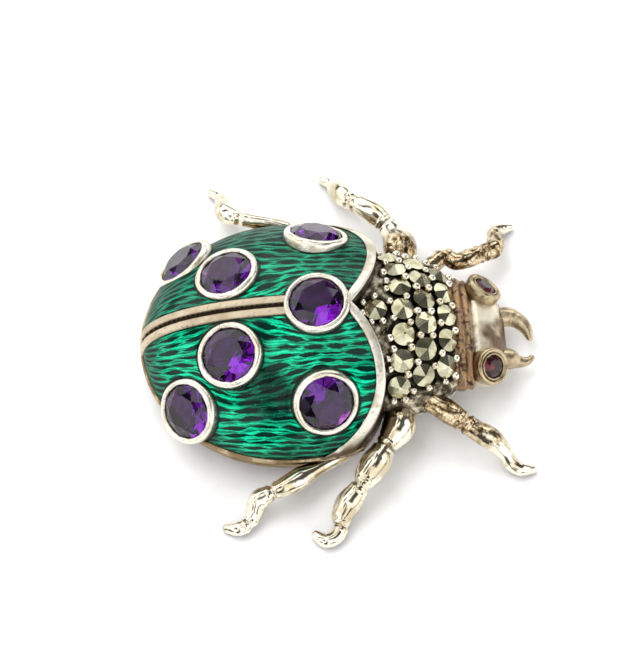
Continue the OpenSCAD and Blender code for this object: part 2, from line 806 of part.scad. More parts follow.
// Pin behind the brooch: a plain stem with its hinge and catch blocks. The stem clears the ring above it.
pin_clear = 0.15;
pin_z = ring_lift - pin_clear - pin_d / 2;
module brooch_pin() {
    color("gainsboro")
        union() {
            translate([catch_x, 0, pin_z])
                rotate([0, 90, 0])
                    cylinder(d = pin_d, h = hinge_x - catch_x, $fn = 24);
            for (x = [hinge_x, catch_x])
                translate([x - pin_block / 2, -pin_block / 2, pin_z - pin_d / 2])
                    cube([pin_block, pin_block, ring_lift - fit_gap - pin_z + pin_d / 2]);
        }
}

translate([x_shift, 0, 0]) {
    silver_body();
    wing_case();
    enamel_left();
    enamel_right();
    amethyst_centre();
    amethyst_front_left();
    amethyst_front_right();
    amethyst_mid_left();
    amethyst_mid_right();
    amethyst_rear_left();
    amethyst_rear_right();
    thorax_stones();
    eye_stone_left();
    eye_stone_right();
    brooch_pin();
}
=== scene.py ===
# %% [markdown]
# # A ladybird brooch, piece by piece
# The real object is a small silver beetle with an enamelled wing case, set stones and six bent legs. Its
# exact solids come from a CAD frame, and this script dresses them: each cell makes one piece or one
# finish. A dressed piece could be sculpted freely, but here it follows the same named sizes as the solid,
# so that it lies exactly where the solid is.

# %% Load the frame
import math

import bmesh
import bpy
import numpy as np
from mathutils import Matrix, Vector


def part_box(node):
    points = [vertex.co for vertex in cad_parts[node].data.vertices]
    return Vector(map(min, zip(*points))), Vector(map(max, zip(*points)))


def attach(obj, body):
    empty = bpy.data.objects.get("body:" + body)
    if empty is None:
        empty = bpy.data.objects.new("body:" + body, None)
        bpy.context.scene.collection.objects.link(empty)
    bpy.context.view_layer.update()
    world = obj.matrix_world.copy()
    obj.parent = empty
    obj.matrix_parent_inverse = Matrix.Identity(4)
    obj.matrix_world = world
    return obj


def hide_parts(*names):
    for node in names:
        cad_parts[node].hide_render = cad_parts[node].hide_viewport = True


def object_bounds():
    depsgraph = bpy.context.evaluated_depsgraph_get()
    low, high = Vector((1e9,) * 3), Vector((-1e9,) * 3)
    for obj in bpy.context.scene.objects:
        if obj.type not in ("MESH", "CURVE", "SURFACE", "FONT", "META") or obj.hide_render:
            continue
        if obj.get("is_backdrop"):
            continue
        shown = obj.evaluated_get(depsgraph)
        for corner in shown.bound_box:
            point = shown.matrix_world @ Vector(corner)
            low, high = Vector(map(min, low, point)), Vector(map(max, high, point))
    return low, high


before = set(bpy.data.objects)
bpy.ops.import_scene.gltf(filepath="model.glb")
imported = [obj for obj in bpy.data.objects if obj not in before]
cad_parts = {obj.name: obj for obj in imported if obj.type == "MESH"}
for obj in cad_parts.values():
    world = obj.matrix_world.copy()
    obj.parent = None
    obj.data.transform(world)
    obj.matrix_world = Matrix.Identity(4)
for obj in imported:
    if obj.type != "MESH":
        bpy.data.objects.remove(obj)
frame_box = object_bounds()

print("nodes:", sorted(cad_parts))

# %% [markdown]
# ## Sizes of the jewel
# A goldsmith works in millimetres, and so does every value below. Blender's unit is the metre, so a piece
# is shrunk by MM when it is finished. The wing case is a dome whose half width follows two half ellipses
# and whose crest line is a superellipse: a rounder, fuller curve than an ellipse.

# %% Sizes of the stance and the wing case
MM = 0.001
ring_lift = 1.3
base_z = 3.1
ring_inset = 0.3
ring_reach = 1.4
case_half_w = 11.6
case_rear = 15.35
case_h = 7.1
widest_back = 2.5
front_taper = 15
front_notch = 3
front_bulge = 2.55
front_full = 0.53
front_corner = 7.5
corner_end = 1.08
section_power = 1.7
crest_power = 2.4
plate_t = 0.7
enamel_t = 0.5
rim_w = 0.75
edge_h = 0.45
rail_w = 0.72
groove_w = 0.4
rim_raise = 0.2
seam_half = groove_w / 2 + rail_w
foot_gap = 0.03
x_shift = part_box("wing_case")[0].x / MM + case_rear + rim_raise
print(f"the frame puts the centre stone {x_shift:.2f} mm from the middle of the brooch")


# %% Shape of the dome
def case_half_width(x, t=0.0):
    """Half width of the dome at x, t below its outside."""
    d = x + widest_back
    reach = np.where(d < 0, case_rear - widest_back, front_taper) - t
    return (case_half_w - t) * np.sqrt(np.clip(1 - (d / reach) ** 2, 0, None))


def case_crest(x, t=0.0):
    """Height of the dome's crest line over the base at x, t below its outside."""
    share = np.clip(1 - (np.abs(x) / (case_rear - t)) ** crest_power, 0, None)
    return (case_h - t) * share ** (1 / crest_power)


def case_height(x, y, t=0.0):
    """Height of the dome at a place in plan, t below its outside."""
    w = np.maximum(case_half_width(x, t), 1e-6)
    arch = np.clip(1 - (np.abs(y) / w) ** section_power, 0, None) ** (1 / section_power)
    return base_z + case_crest(x, t) * arch


def front_line(inset, count=90):
    """The wing case's front in plan, from the notch out to the corner, moved back by inset."""
    s = np.linspace(0, 1, count)
    lobe = np.stack([front_notch + front_bulge * (1 - (1 - s) ** 2), s * front_full * case_half_w], 1)
    a = np.radians(np.linspace(1, 86, count))
    width = front_full + (corner_end - front_full) * np.sin(a)
    corner = np.stack([front_notch + front_bulge - front_corner * (1 - np.cos(a)), case_half_w * width], 1)
    line = np.concatenate([lobe, corner])
    run = np.gradient(line, axis=0)
    run /= np.linalg.norm(run, axis=1, keepdims=True)
    moved = line + inset * np.stack([-run[:, 1], run[:, 0]], 1)
    start = [[front_notch - inset / run[0, 1], 0.0]]
    return np.concatenate([start, moved[1:]])


def front_edge(y, inset=0.0):
    """How far ahead the wing case's front is at y, moved back by inset."""
    line = front_line(inset)
    return np.interp(np.abs(y), line[:, 1], line[:, 0])


print(f"the dome stands {case_height(0.0, 0.0):.2f} mm high and is {2 * case_half_w} mm wide")

# %% [markdown]
# ## Tools of the bench
# Nearly every piece here is a skin stretched over rings of points: a lathe turns one profile round an
# axis, a limb strings rings along a bent line, a rail carries a profile along the dome. One helper makes
# the faces, another welds them, turns them outwards, shrinks them to metres and hangs them on the frame.

# %% Skins and finished pieces
def skin(rings, round_ring=True, round_rows=False, cap_start=False, cap_end=False):
    """Faces between neighbouring rings of points. A cap is a fan of triangles round the ring's middle."""
    rings = np.asarray(rings, float)
    n, m = rings.shape[:2]
    points = list(rings.reshape(-1, 3))
    faces = []
    for i in range(n if round_rows else n - 1):
        up = (i + 1) % n
        for j in range(m if round_ring else m - 1):
            k = (j + 1) % m
            faces.append((i * m + j, i * m + k, up * m + k, up * m + j))
    for wanted, row in ((cap_start, 0), (cap_end, n - 1)):
        if wanted:
            points.append(rings[row].mean(0))
            hub = len(points) - 1
            faces += [(row * m + j, row * m + (j + 1) % m, hub) for j in range(m)]
    return np.array(points), faces


def slab_skin(top, floor):
    """Closed slab between two sheets of points that have the same rows and columns."""
    n, m = top.shape[:2]
    points = np.concatenate([top.reshape(-1, 3), floor.reshape(-1, 3)])
    far = n * m
    faces = []
    for i in range(n - 1):
        for j in range(m - 1):
            a, b = i * m + j, (i + 1) * m + j
            faces.append((a, a + 1, b + 1, b))
            faces.append((far + a, far + b, far + b + 1, far + a + 1))
    border = [(i, 0) for i in range(n)] + [(n - 1, j) for j in range(1, m)]
    border += [(i, m - 1) for i in range(n - 2, -1, -1)] + [(0, j) for j in range(m - 2, 0, -1)]
    for (i, j), (k, l) in zip(border, border[1:] + border[:1]):
        a, b = i * m + j, k * m + l
        faces.append((a, b, far + b, far + a))
    return points, faces


weld_gap = 0.0006
sliver = 0.0004


def rough_piece(name, skins):
    """A piece in millimetres: its skins are welded and turned outwards."""
    points, faces, start = [], [], 0
    for part, part_faces in skins:
        points.append(part)
        faces += [tuple(v + start for v in face) for face in part_faces]
        start += len(part)
    mesh = bpy.data.meshes.new(name)
    mesh.from_pydata(np.concatenate(points).tolist(), [], faces)
    work = bmesh.new()
    work.from_mesh(mesh)
    bmesh.ops.remove_doubles(work, verts=work.verts, dist=weld_gap)
    bmesh.ops.dissolve_degenerate(work, edges=work.edges, dist=sliver)
    bmesh.ops.recalc_face_normals(work, faces=work.faces)
    work.to_mesh(mesh)
    work.free()
    piece = bpy.data.objects.new(name, mesh)
    bpy.context.scene.collection.objects.link(piece)
    return piece


def finish_piece(piece, finish, stands_for=(), crease=50):
    """Shrinks a piece to metres, gives it its finish and hangs it on the frame."""
    mesh = piece.data
    mesh.transform(Matrix.Scale(MM, 4) @ Matrix.Translation((x_shift, 0, 0)))
    mesh.materials.clear()
    mesh.materials.append(finish)
    if crease:
        mesh.shade_smooth()
        mesh.set_sharp_from_angle(angle=math.radians(crease))
    else:
        mesh.shade_flat()
    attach(piece, "root")
    if stands_for:
        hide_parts(*stands_for)
    triangles = sum(len(p.vertices) - 2 for p in mesh.polygons)
    print(f"{piece.name}: {triangles} triangles")
    return piece


def cut_away(piece, cutter):
    """Saws the cutter's shape out of a piece that is still in millimetres, and fills the saw's pinholes."""
    saw = piece.modifiers.new("saw", "BOOLEAN")
    saw.operation = "DIFFERENCE"
    saw.solver = "EXACT"
    saw.object = cutter
    result = piece.evaluated_get(bpy.context.evaluated_depsgraph_get())
    mesh = bpy.data.meshes.new_from_object(result)
    work = bmesh.new()
    work.from_mesh(mesh)
    bmesh.ops.holes_fill(work, edges=work.edges, sides=6)
    work.to_mesh(mesh)
    work.free()
    piece.modifiers.remove(saw)
    old = piece.data
    piece.data = mesh
    bpy.data.meshes.remove(old)
    bpy.data.objects.remove(cutter)
    return piece


# %% Hand-made unevenness and smooth curves
def wobble(turn, waves, size, dice):
    """Unevenness of hand work round a ring: a few waves of chance height and place."""
    out = np.zeros_like(turn)
    for k in waves:
        out += np.sin(k * turn + dice.uniform(0, 2 * math.pi)) * dice.uniform(0.5, 1)
    return size * out / math.sqrt(len(waves))


def curve_through(rows, steps):
    """Smooth curve through rows of numbers, with so many steps from each row to the next."""
    rows = np.array(rows, float)
    out = []
    for i in range(len(rows) - 1):
        a, b, c = rows[max(i - 1, 0)], rows[i], rows[i + 1]
        d = rows[min(i + 2, len(rows) - 1)]
        for k in range(steps):
            t = k / steps
            bend = (c - a) * t + (2 * a - 5 * b + 4 * c - d) * t * t + (3 * b - a - 3 * c + d) * t ** 3
            out.append(0.5 * (2 * b + bend))
    out.append(rows[-1])
    return np.array(out)


def bulge(angle, power):
    """Cosine and sine of a superellipse: power 2 is a circle, less has a soft ridge on each axis."""
    c, s = np.cos(angle), np.sin(angle)
    return np.sign(c) * np.abs(c) ** (2 / power), np.sign(s) * np.abs(s) ** (2 / power)


# %% [markdown]
# ## Recipes for the finishes
# A finish is a recipe of nodes: where on the piece, which noise at which size, which colour. Each noise
# takes its size in millimetres on the jewel. The nodes could be joined by hand in the editor, but a step
# that is written once here serves every finish, and the sky too.

# %% Steps that any recipe is made of
class Steps:
    """The steps of a recipe, each one a node or two in the tree that the recipe fills."""
    def __init__(self, tree):
        self.tree = tree

    def add(self, kind):
        return self.tree.nodes.new(kind)

    def put(self, socket, value):
        if isinstance(value, bpy.types.NodeSocket):
            self.tree.links.new(value, socket)
        else:
            socket.default_value = value

    def vector(self, how, a, b=None, scale=None):
        node = self.add("ShaderNodeVectorMath")
        node.operation = how
        self.put(node.inputs[0], a)
        if b is not None:
            self.put(node.inputs[1], b)
        if scale is not None:
            self.put(node.inputs["Scale"], scale)
        gives_number = how in ("LENGTH", "DISTANCE", "DOT_PRODUCT")
        return node.outputs["Value" if gives_number else "Vector"]

    def axes(self, vector):
        node = self.add("ShaderNodeSeparateXYZ")
        self.put(node.inputs[0], vector)
        return node.outputs

    def sum(self, how, a, b=0.0, clamp=False):
        node = self.add("ShaderNodeMath")
        node.operation = how
        node.use_clamp = clamp
        self.put(node.inputs[0], a)
        self.put(node.inputs[1], b)
        return node.outputs[0]

    def noise(self, size, detail=3.0, rough=0.5, place=None, twist=0.0):
        node = self.add("ShaderNodeTexNoise")
        self.put(node.inputs["Vector"], self.place if place is None else place)
        node.inputs["Scale"].default_value = 1 / size
        node.inputs["Detail"].default_value = detail
        node.inputs["Roughness"].default_value = rough
        node.inputs["Distortion"].default_value = twist
        return node.outputs["Fac"]

    def step(self, value, low, high, start=0.0, end=1.0):
        node = self.add("ShaderNodeMapRange")
        node.interpolation_type = "SMOOTHSTEP"
        for socket, number in zip(node.inputs[0:5], (value, low, high, start, end)):
            self.put(socket, number)
        return node.outputs[0]

    def colours(self, share, stops):
        node = self.add("ShaderNodeValToRGB")
        ramp = node.color_ramp
        while len(ramp.elements) < len(stops):
            ramp.elements.new(0.5)
        for element, (at, colour) in zip(ramp.elements, stops):
            element.position = at
            element.color = (*colour, 1)
        self.put(node.inputs[0], share)
        return node.outputs["Color"]

    def blend(self, share, a, b):
        node = self.add("ShaderNodeMix")
        node.data_type = "RGBA"
        self.put(node.inputs[0], share)
        for socket, colour in ((node.inputs[6], a), (node.inputs[7], b)):
            self.put(socket, (*colour, 1) if isinstance(colour, tuple) else colour)
        return node.outputs[2]


# %% The recipe of a finish
class Recipe(Steps):
    def __init__(self, name):
        self.finish = bpy.data.materials.new(name)
        self.finish.use_nodes = True
        super().__init__(self.finish.node_tree)
        self.tree.nodes.clear()
        self.shader = self.add("ShaderNodeBsdfPrincipled")
        self.out = self.add("ShaderNodeOutputMaterial")
        self.tree.links.new(self.shader.outputs["BSDF"], self.out.inputs["Surface"])
        self.place = self.vector("SCALE", self.add("ShaderNodeTexCoord").outputs["Object"], scale=1 / MM)

    def relief(self, height, deep, strength=1.0):
        node = self.add("ShaderNodeBump")
        node.inputs["Strength"].default_value = strength
        node.inputs["Distance"].default_value = deep * MM
        self.put(node.inputs["Height"], height)
        return node.outputs["Normal"]

    def hollows(self, reach):
        """1 in the hollows of a piece and 0 out in the open, within a reach in millimetres."""
        node = self.add("ShaderNodeAmbientOcclusion")
        node.samples = 6
        node.inputs["Distance"].default_value = reach * MM
        return self.sum("SUBTRACT", 1.0, node.outputs["AO"], clamp=True)

    def set(self, **values):
        for name, value in values.items():
            self.put(self.shader.inputs[name.replace("_", " ")], value)


# %% [markdown]
# ## Silver
# Silver is never one colour: it is polished where the hand rubs, dull in clouds, spotted with tarnish, and
# brown or black in the hollows. Each stain could be painted, but the twelve finishes share one recipe with
# other tones, which works on any piece because it finds the hollows itself. The same recipe can also paint
# shade onto steep sides and into a seam.

# %% Silver, from bright polish to brown tarnish
def silver_finish(name, bright, dull, soil_and_shade, soiled=0.5, smooth=0.14, matt=0.32, reach=0.7, grain=0.010,
                  tarnish=0.35, dark_half=0.0, cast=0.0, roots=None, steep_shade=None, deep=(0.42, 0.88),
                  patch=(0.42, 0.66)):
    """Silver whose hollows are soiled. dark_half paints shade into the seam out to that distance, roots
    rusts and roughens the limbs in to those two distances, and what leans over as far as steep says gets
    painted shade."""
    r = Recipe(name)
    clouds = r.noise(2.4, 4, 0.6)
    spots = r.noise(0.32, 5, 0.65)
    rub = r.noise(1.0, 6, 0.7, place=r.vector("MULTIPLY", r.place, (0.35, 6.0, 6.0)))
    body = r.blend(r.step(clouds, *patch), bright, dull)
    body = r.blend(r.sum("MULTIPLY", r.step(spots, 0.56, 0.74), tarnish), body, soil_and_shade)
    hollow = r.step(r.sum("ADD", r.hollows(reach), r.sum("MULTIPLY", spots, 0.25)), *deep, 0, soiled)
    across = r.axes(r.place)[1]
    # Painted shade: the groove of the seam between the rails is painted dark.
    if dark_half:
        seam = r.step(r.sum("ABSOLUTE", across), dark_half - 0.03, dark_half + 0.03, 0.97, 0.0)
        hollow = r.sum("MAXIMUM", hollow, seam)
    height = r.sum("ADD", rub, r.sum("MULTIPLY", spots, 0.6))
    if cast:
        lumps = r.sum("MULTIPLY", r.noise(0.75, 3, 0.5), cast / grain)
    if roots:
        y = r.sum("ADD", across, r.sum("MULTIPLY", r.sum("SUBTRACT", clouds, 0.5), 3.0))
        near_root = r.step(r.sum("MULTIPLY", y, -1), roots[0] - 0.7, roots[0] + 0.7, 1, 0)
        far_root = r.step(y, roots[1] - 0.7, roots[1] + 0.7, 1, 0)
        at_root = r.sum("MULTIPLY", near_root, far_root)
        rust = r.colours(r.noise(0.8, 5, 0.7), [(0.38, (0.07, 0.045, 0.022)), (0.48, (0.42, 0.30, 0.16)),
                                                (0.57, (0.74, 0.64, 0.45)), (0.68, (0.52, 0.28, 0.11))])
        body = r.blend(at_root, body, rust)
        lumps = r.sum("MULTIPLY", lumps, at_root)
    # Painted shade: what leans over that far, such as a rim's steep sides, gets the dark colour.
    if steep_shade:
        facing_up = r.axes(r.add("ShaderNodeTexCoord").outputs["Normal"])[2]
        body = r.blend(r.step(facing_up, *steep_shade, 0.9, 0.0), body, soil_and_shade)
    r.set(Base_Color=r.blend(hollow, body, soil_and_shade), Metallic=1.0)
    worn = r.sum("ADD", r.sum("MULTIPLY", rub, matt - smooth), smooth)
    r.set(Roughness=r.sum("ADD", worn, r.sum("MULTIPLY", hollow, 0.22), clamp=True))
    if cast:
        height = r.sum("ADD", height, lumps)
    r.set(Normal=r.relief(height, grain))
    return r.finish


polished_silver = silver_finish(
    "polished_silver", (0.94, 0.90, 0.78), (0.74, 0.66, 0.50), (0.13, 0.08, 0.035), soiled=0.95,
    smooth=0.08, matt=0.20, reach=1.0, grain=0.012, tarnish=0.3)
leg_silver, front_leg_silver = [
    silver_finish(name, (0.89, 0.83, 0.68), (0.62, 0.53, 0.37), (0.08, 0.05, 0.025), soiled=0.97,
                  smooth=0.06, matt=0.13, reach=1.1, grain=0.006, tarnish=0.10, cast=cast, roots=roots,
                  deep=(0.30, 0.66), patch=(0.48, 0.60))
    for name, roots, cast in (("leg_silver", (7.6, 9.6), 0.14), ("front_leg_silver", (10.4, 10.8), 0.08))]
collar_silver = silver_finish(
    "yellowed_collar_silver", (0.56, 0.45, 0.28), (0.30, 0.22, 0.12), (0.05, 0.03, 0.015), soiled=0.97,
    smooth=0.14, matt=0.30, reach=0.9, grain=0.016, tarnish=0.6, deep=(0.30, 0.66), patch=(0.46, 0.58))
bezel_silver = silver_finish(
    "bezel_silver", (0.96, 0.92, 0.81), (0.82, 0.75, 0.60), (0.12, 0.075, 0.035), soiled=0.92,
    smooth=0.16, matt=0.34, reach=0.55, grain=0.02, tarnish=0.45, deep=(0.32, 0.60))
# Painted shade: this finish darkens the rims' steep sides.
rim_silver = silver_finish(
    "worn_shaded_rim_silver", (0.92, 0.87, 0.76), (0.66, 0.59, 0.46), (0.10, 0.065, 0.035), soiled=0.92,
    smooth=0.20, matt=0.42, reach=0.5, grain=0.03, tarnish=0.75, steep_shade=(0.30, 0.58), deep=(0.32, 0.64),
    patch=(0.48, 0.60))
edge_silver = silver_finish(
    "browned_edge_silver", (0.60, 0.48, 0.31), (0.30, 0.21, 0.11), (0.04, 0.025, 0.012), soiled=0.95,
    smooth=0.16, matt=0.36, reach=0.6, grain=0.03, tarnish=0.8, deep=(0.32, 0.64), patch=(0.46, 0.58))
# Painted shade: this finish paints the groove between the rails dark.
rail_silver = silver_finish(
    "worn_shaded_rail_silver", (0.74, 0.63, 0.46), (0.58, 0.47, 0.33), (0.05, 0.035, 0.022), soiled=0.95,
    smooth=0.42, matt=0.62, reach=0.45, grain=0.035, tarnish=0.85, dark_half=groove_w / 2 + 0.01)
brown_silver = silver_finish(
    "brown_side_silver", (0.40, 0.30, 0.18), (0.24, 0.16, 0.08), (0.03, 0.018, 0.01), soiled=0.9,
    smooth=0.26, matt=0.48, reach=0.8, grain=0.02, tarnish=0.6)
back_silver = silver_finish(
    "plain_back_silver", (0.66, 0.62, 0.54), (0.50, 0.45, 0.37), (0.12, 0.09, 0.055), soiled=0.6,
    smooth=0.30, matt=0.50, reach=1.6, grain=0.02, tarnish=0.5)
pin_wire = silver_finish(
    "drawn_pin_wire", (0.78, 0.76, 0.70), (0.66, 0.62, 0.55), (0.20, 0.16, 0.11), soiled=0.4,
    smooth=0.20, matt=0.36, reach=0.5, grain=0.006, tarnish=0.3)
jaw_silver = silver_finish(
    "brown_jaw_silver", (0.64, 0.52, 0.34), (0.36, 0.27, 0.17), (0.06, 0.04, 0.025), soiled=0.95,
    smooth=0.18, matt=0.38, reach=1.0, grain=0.022, tarnish=0.5, cast=0.06)
print("silver finishes: 12")

# %% [markdown]
# ## Camera
# The photograph looks down on the brooch steeply, with the head to the right. The camera's numbers were
# fitted to places on the brooch that can be read off the photograph, and the long lens keeps the far legs
# nearly as large as the near ones.

# %% Camera at the photograph's angle
photo_w = 640
photo_h = 645
zoom_px = 2000
camera_turn = math.radians(-3.177)
camera_lift = math.radians(62.531)
camera_far = 162.145
seen_point = Vector((x_shift, -5.257, 16.685))
flat_share = math.cos(camera_lift)
away = Vector((math.sin(camera_turn) * flat_share, -math.cos(camera_turn) * flat_share,
               math.sin(camera_lift)))
lens = bpy.data.cameras.new("camera")
camera = bpy.data.objects.new("camera", lens)
bpy.context.scene.collection.objects.link(camera)
camera.location = (seen_point + away * camera_far) * MM
camera.rotation_euler = away.to_track_quat("Z", "Y").to_euler()
lens.sensor_width = 36
lens.lens = zoom_px / max(photo_w, photo_h) * lens.sensor_width
lens.clip_start = 0.001
bpy.context.scene.camera = camera
print(f"the camera stands {camera_far:.0f} mm away, {math.degrees(camera_lift):.1f} degrees up")

# %% [markdown]
# ## Paper, sky and lights
# The brooch lies on white paper under wide soft lights. Polished silver shows only what stands round it.
# So the sky is bright from a little above the paper's edge and dark below it, and broken up into light and
# dark patches, as by a photographer's cards: that gives each bend of a leg its light and its dark side.

# %% Paper
paper = Recipe("studio_paper")
fibres = paper.noise(1.5, 4, 0.6)
paper.set(Base_Color=paper.colours(fibres, [(0.3, (0.90, 0.90, 0.90)), (0.7, (0.94, 0.94, 0.94))]))
paper.set(Roughness=0.75, Normal=paper.relief(fibres, 0.01, 0.3))
sheet_half = 900
corners = [(sheet_half * p, sheet_half * q, 0) for p, q in ((-1, -1), (1, -1), (1, 1), (-1, 1))]
sheet_mesh = bpy.data.meshes.new("paper")
sheet_mesh.from_pydata([[v * MM for v in corner] for corner in corners], [], [(0, 1, 2, 3)])
sheet_mesh.materials.append(paper.finish)
sheet = bpy.data.objects.new("paper", sheet_mesh)
bpy.context.scene.collection.objects.link(sheet)
sheet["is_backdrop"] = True
print(f"paper: {2 * sheet_half} mm square")

# %% Sky of light and dark cards
sky = bpy.data.worlds.new("studio")
bpy.context.scene.world = sky
sky.use_nodes = True
studio = Steps(sky.node_tree)
direction = studio.add("ShaderNodeTexCoord").outputs["Generated"]
grey_stops = ((0.0, 0.05), (0.09, 0.8), (0.20, 1.0), (0.45, 1.05), (0.78, 0.9), (1.0, 1.0))
shade = studio.colours(studio.axes(direction)[2], [(at, (grey, grey, grey)) for at, grey in grey_stops])
toward_back = studio.vector("DOT_PRODUCT", direction, (-0.45, 0.89, 0.0))
cards = studio.noise(1 / 1.9, 1.5, place=direction)
strength = studio.sum("MULTIPLY", studio.step(toward_back, -0.70, 0.50, 1.0, 1.15),
                      studio.step(cards, 0.43, 0.53, 0.10, 1.55))
studio.put(sky.node_tree.nodes["Background"].inputs["Color"], shade)
studio.put(sky.node_tree.nodes["Background"].inputs["Strength"], strength)
print(f"the sky has {len(grey_stops)} greys from the paper's edge up to overhead")


# %% Soft lights
def soft_light(name, place, size, power):
    lamp = bpy.data.lights.new(name, "AREA")
    lamp.shape = "RECTANGLE"
    lamp.size = size[0] * MM
    lamp.size_y = size[1] * MM
    lamp.energy = power
    stand = bpy.data.objects.new(name, lamp)
    stand.location = Vector(place) * MM
    stand.rotation_euler = Vector(place).to_track_quat("Z", "Y").to_euler()
    stand.visible_glossy = False
    bpy.context.scene.collection.objects.link(stand)


soft_light("window", (-110, 130, 320), (340, 260), 0.75)
soft_light("reflector", (300, -60, 60), (60, 260), 0.4)
bpy.context.scene.view_settings.view_transform = "Standard"
print("lights: a wide window above and a reflector ahead of the beetle")

# %% [markdown]
# ## Wing case: the domed plate
# The wing case starts as a silver plate that is domed with a punch. Here the plate is a shell between two
# domes. Its points crowd together towards the tail, where the dome falls steeply.

# %% Domed plate
def case_rows(x_end, x_tail, steps):
    """Places from front to tail that crowd together where the dome falls steeply."""
    s = np.linspace(0, 1, steps)
    return x_end + (x_tail - x_end) * (1 - (1 - s) ** 3)


def plate_face(t, steps=90, cols=96):
    """Sheet of points over the whole dome, t below its outside."""
    rows = []
    for q in np.linspace(-1, 1, cols + 1):
        along, across = bulge(np.array(abs(q) * math.pi / 2), section_power)
        x_end = front_notch
        for _ in range(30):
            x_end = 0.5 * x_end + 0.5 * front_edge(case_half_width(x_end, t) * across)
        x = case_rows(x_end, -(case_rear - t), steps)
        y = np.sign(q) * case_half_width(x, t) * across
        z = base_z + np.maximum(case_crest(x, t) * along, foot_gap)
        rows.append(np.stack([x, y, z], 1))
    return np.array(rows)


top_face = plate_face(enamel_t + foot_gap)
under_face = plate_face(enamel_t + plate_t)
plate = rough_piece("domed_plate", [slab_skin(top_face, under_face)])

# %% [markdown]
# ## Where the stones sit
# One stone sits on the seam and three on each side, as mirror images. Each place is a share of the dome's
# length and width, and each leans as the dome does there, so its bezel stands square on the metal. A round
# hole under each stone lets light in from behind. The holes, the bezels and the enamel all read the same
# places, so they always agree.

# %% The bezels' places and the holes behind the stones
# Each stone: how far ahead and across as shares of the case, then its lean outwards and forwards in degrees
SPOTS = {
    "centre": (0.000, 0.000, 0, -4),
    "front": (0.024, 0.700, 43, 9),
    "mid": (-0.495, 0.337, 15, -17),
    "rear": (-0.744, 0.623, 34, -37),
}
stone_hole_r = 2.15
bezel_r = 2.89


def spot_frame(name, side):
    """Turn and middle of a bezel, on the left, on the right or on the seam."""
    ahead, across, out, forward = SPOTS[name]
    x, y = ahead * case_rear, side * across * case_half_w
    lean_out = Matrix.Rotation(math.radians(-side * out), 3, "X")
    lean_forward = Matrix.Rotation(math.radians(forward), 3, "Y")
    return np.array(lean_out @ lean_forward), np.array([x, y, float(case_height(x, y))])


bezels = [("centre", 0, *spot_frame("centre", 0))]
for name in ("front", "mid", "rear"):
    for side in (1, -1):
        bezels.append((name, side, *spot_frame(name, side)))


def drum(turn, middle, radius, low, high, sides=72):
    """A plain round bar along a bezel's axis, used as a saw."""
    a = np.linspace(0, 2 * math.pi, sides, endpoint=False)
    rings = []
    for z in (low, high):
        ring = np.stack([radius * np.cos(a), radius * np.sin(a), np.full(sides, float(z))], 1)
        rings.append(ring @ turn.T + middle)
    return skin(rings, cap_start=True, cap_end=True)


holes = rough_piece("holes", [drum(turn, middle, stone_hole_r, -3, 2) for _, _, turn, middle in bezels])
plate = cut_away(plate, holes)
finish_piece(plate, back_silver, ["wing_case"])


# %% [markdown]
# ## Twin rails
# Two strips of silver are soldered along the seam, from the centre stone to the tail, and keep the two
# enamels apart while they melt. They could be one strip with a groove carved in. Here one profile with
# rounded shoulders is carried along the dome on each side, so that each rail catches its own thin light.
# The groove between them is dark, and the rails' finish also paints shade into it.

# %% Twin rails along the seam
def carried_line(y, lift, steps=150, x_end=-2.45):
    """One line of a rail from the centre stone to the tail, y off the seam and lift above the enamel."""
    t = -lift
    share = math.sqrt(1 - (y / (case_half_w - t)) ** 2)
    x_tail = -widest_back - (case_rear - widest_back - t) * share
    x = case_rows(x_end, x_tail, steps)
    z = np.maximum(case_height(x, y, t), base_z + 0.04)
    return np.stack([x, np.full(steps, float(y)), z], 1)


rail_dice = np.random.default_rng(11)
rib_pitch = 0.42
# Across from the seam's middle and up from the enamel, from the outer foot over the top into the groove
rail_profile = [(seam_half, -0.55), (seam_half, -0.03), (seam_half - 0.02, 0.09), (seam_half - 0.08, 0.17),
                (seam_half - 0.18, 0.20), (0.62, 0.19), (0.50, 0.185), (0.38, 0.195), (0.29, 0.18),
                (0.23, 0.11), (0.205, 0.0), (0.195, -0.12), (0.18, -0.22), (0.13, -0.26)]
lines = []
for side, profile in ((1, rail_profile), (-1, rail_profile[::-1])):
    for y, lift in profile:
        line = carried_line(y, lift)
        along = line[:, 0] * 2 * math.pi / 15
        sway = wobble(along, (2, 5, 9, 14, 23), 0.012, rail_dice)
        in_groove = -0.25 < lift < 0.05 and y < 0.25
        rib = 0.018 * np.sin(line[:, 0] * 2 * math.pi / rib_pitch) if in_groove else 0.0
        line[:, 1] = side * (y + (sway if lift > 0.05 else 0.0) + rib)
        lines.append(line)
rails = rough_piece("seam_rails", [skin(np.array(lines).transpose(1, 0, 2), cap_start=True, cap_end=True)])
finish_piece(rails, rail_silver, ["wing_case"], crease=60)

# %% [markdown]
# ## Front rims
# A strip is bent along each front: it swells forward from the notch at the seam and turns back at the
# corner. Its shoulders are round because worn silver has no sharp edge, and its outer wall goes straight
# down to the base, so that nothing shows under the front of the plate.

# %% Rounded rims along the two fronts
foot = -9
# Inwards from the front line and up from the enamel, from the wall's foot over the top to the enamel
rim_profile = [(0.0, foot), (0.0, -0.6), (0.0, 0.02), (0.02, 0.10), (0.08, 0.165), (0.18, 0.20),
               (0.32, 0.205), (0.50, 0.20), (0.68, 0.195), (0.78, 0.16), (0.845, 0.08), (0.86, -0.03),
               (0.86, -0.60)]


def on_dome(x, y, lift):
    """A point lift above the enamel over a place in plan, held to the dome's foot beyond its edge."""
    y = np.minimum(y, case_half_width(x, -lift) * 0.99995)
    return np.stack([x, y, np.maximum(case_height(x, y, -lift), base_z + foot_gap)], 1)


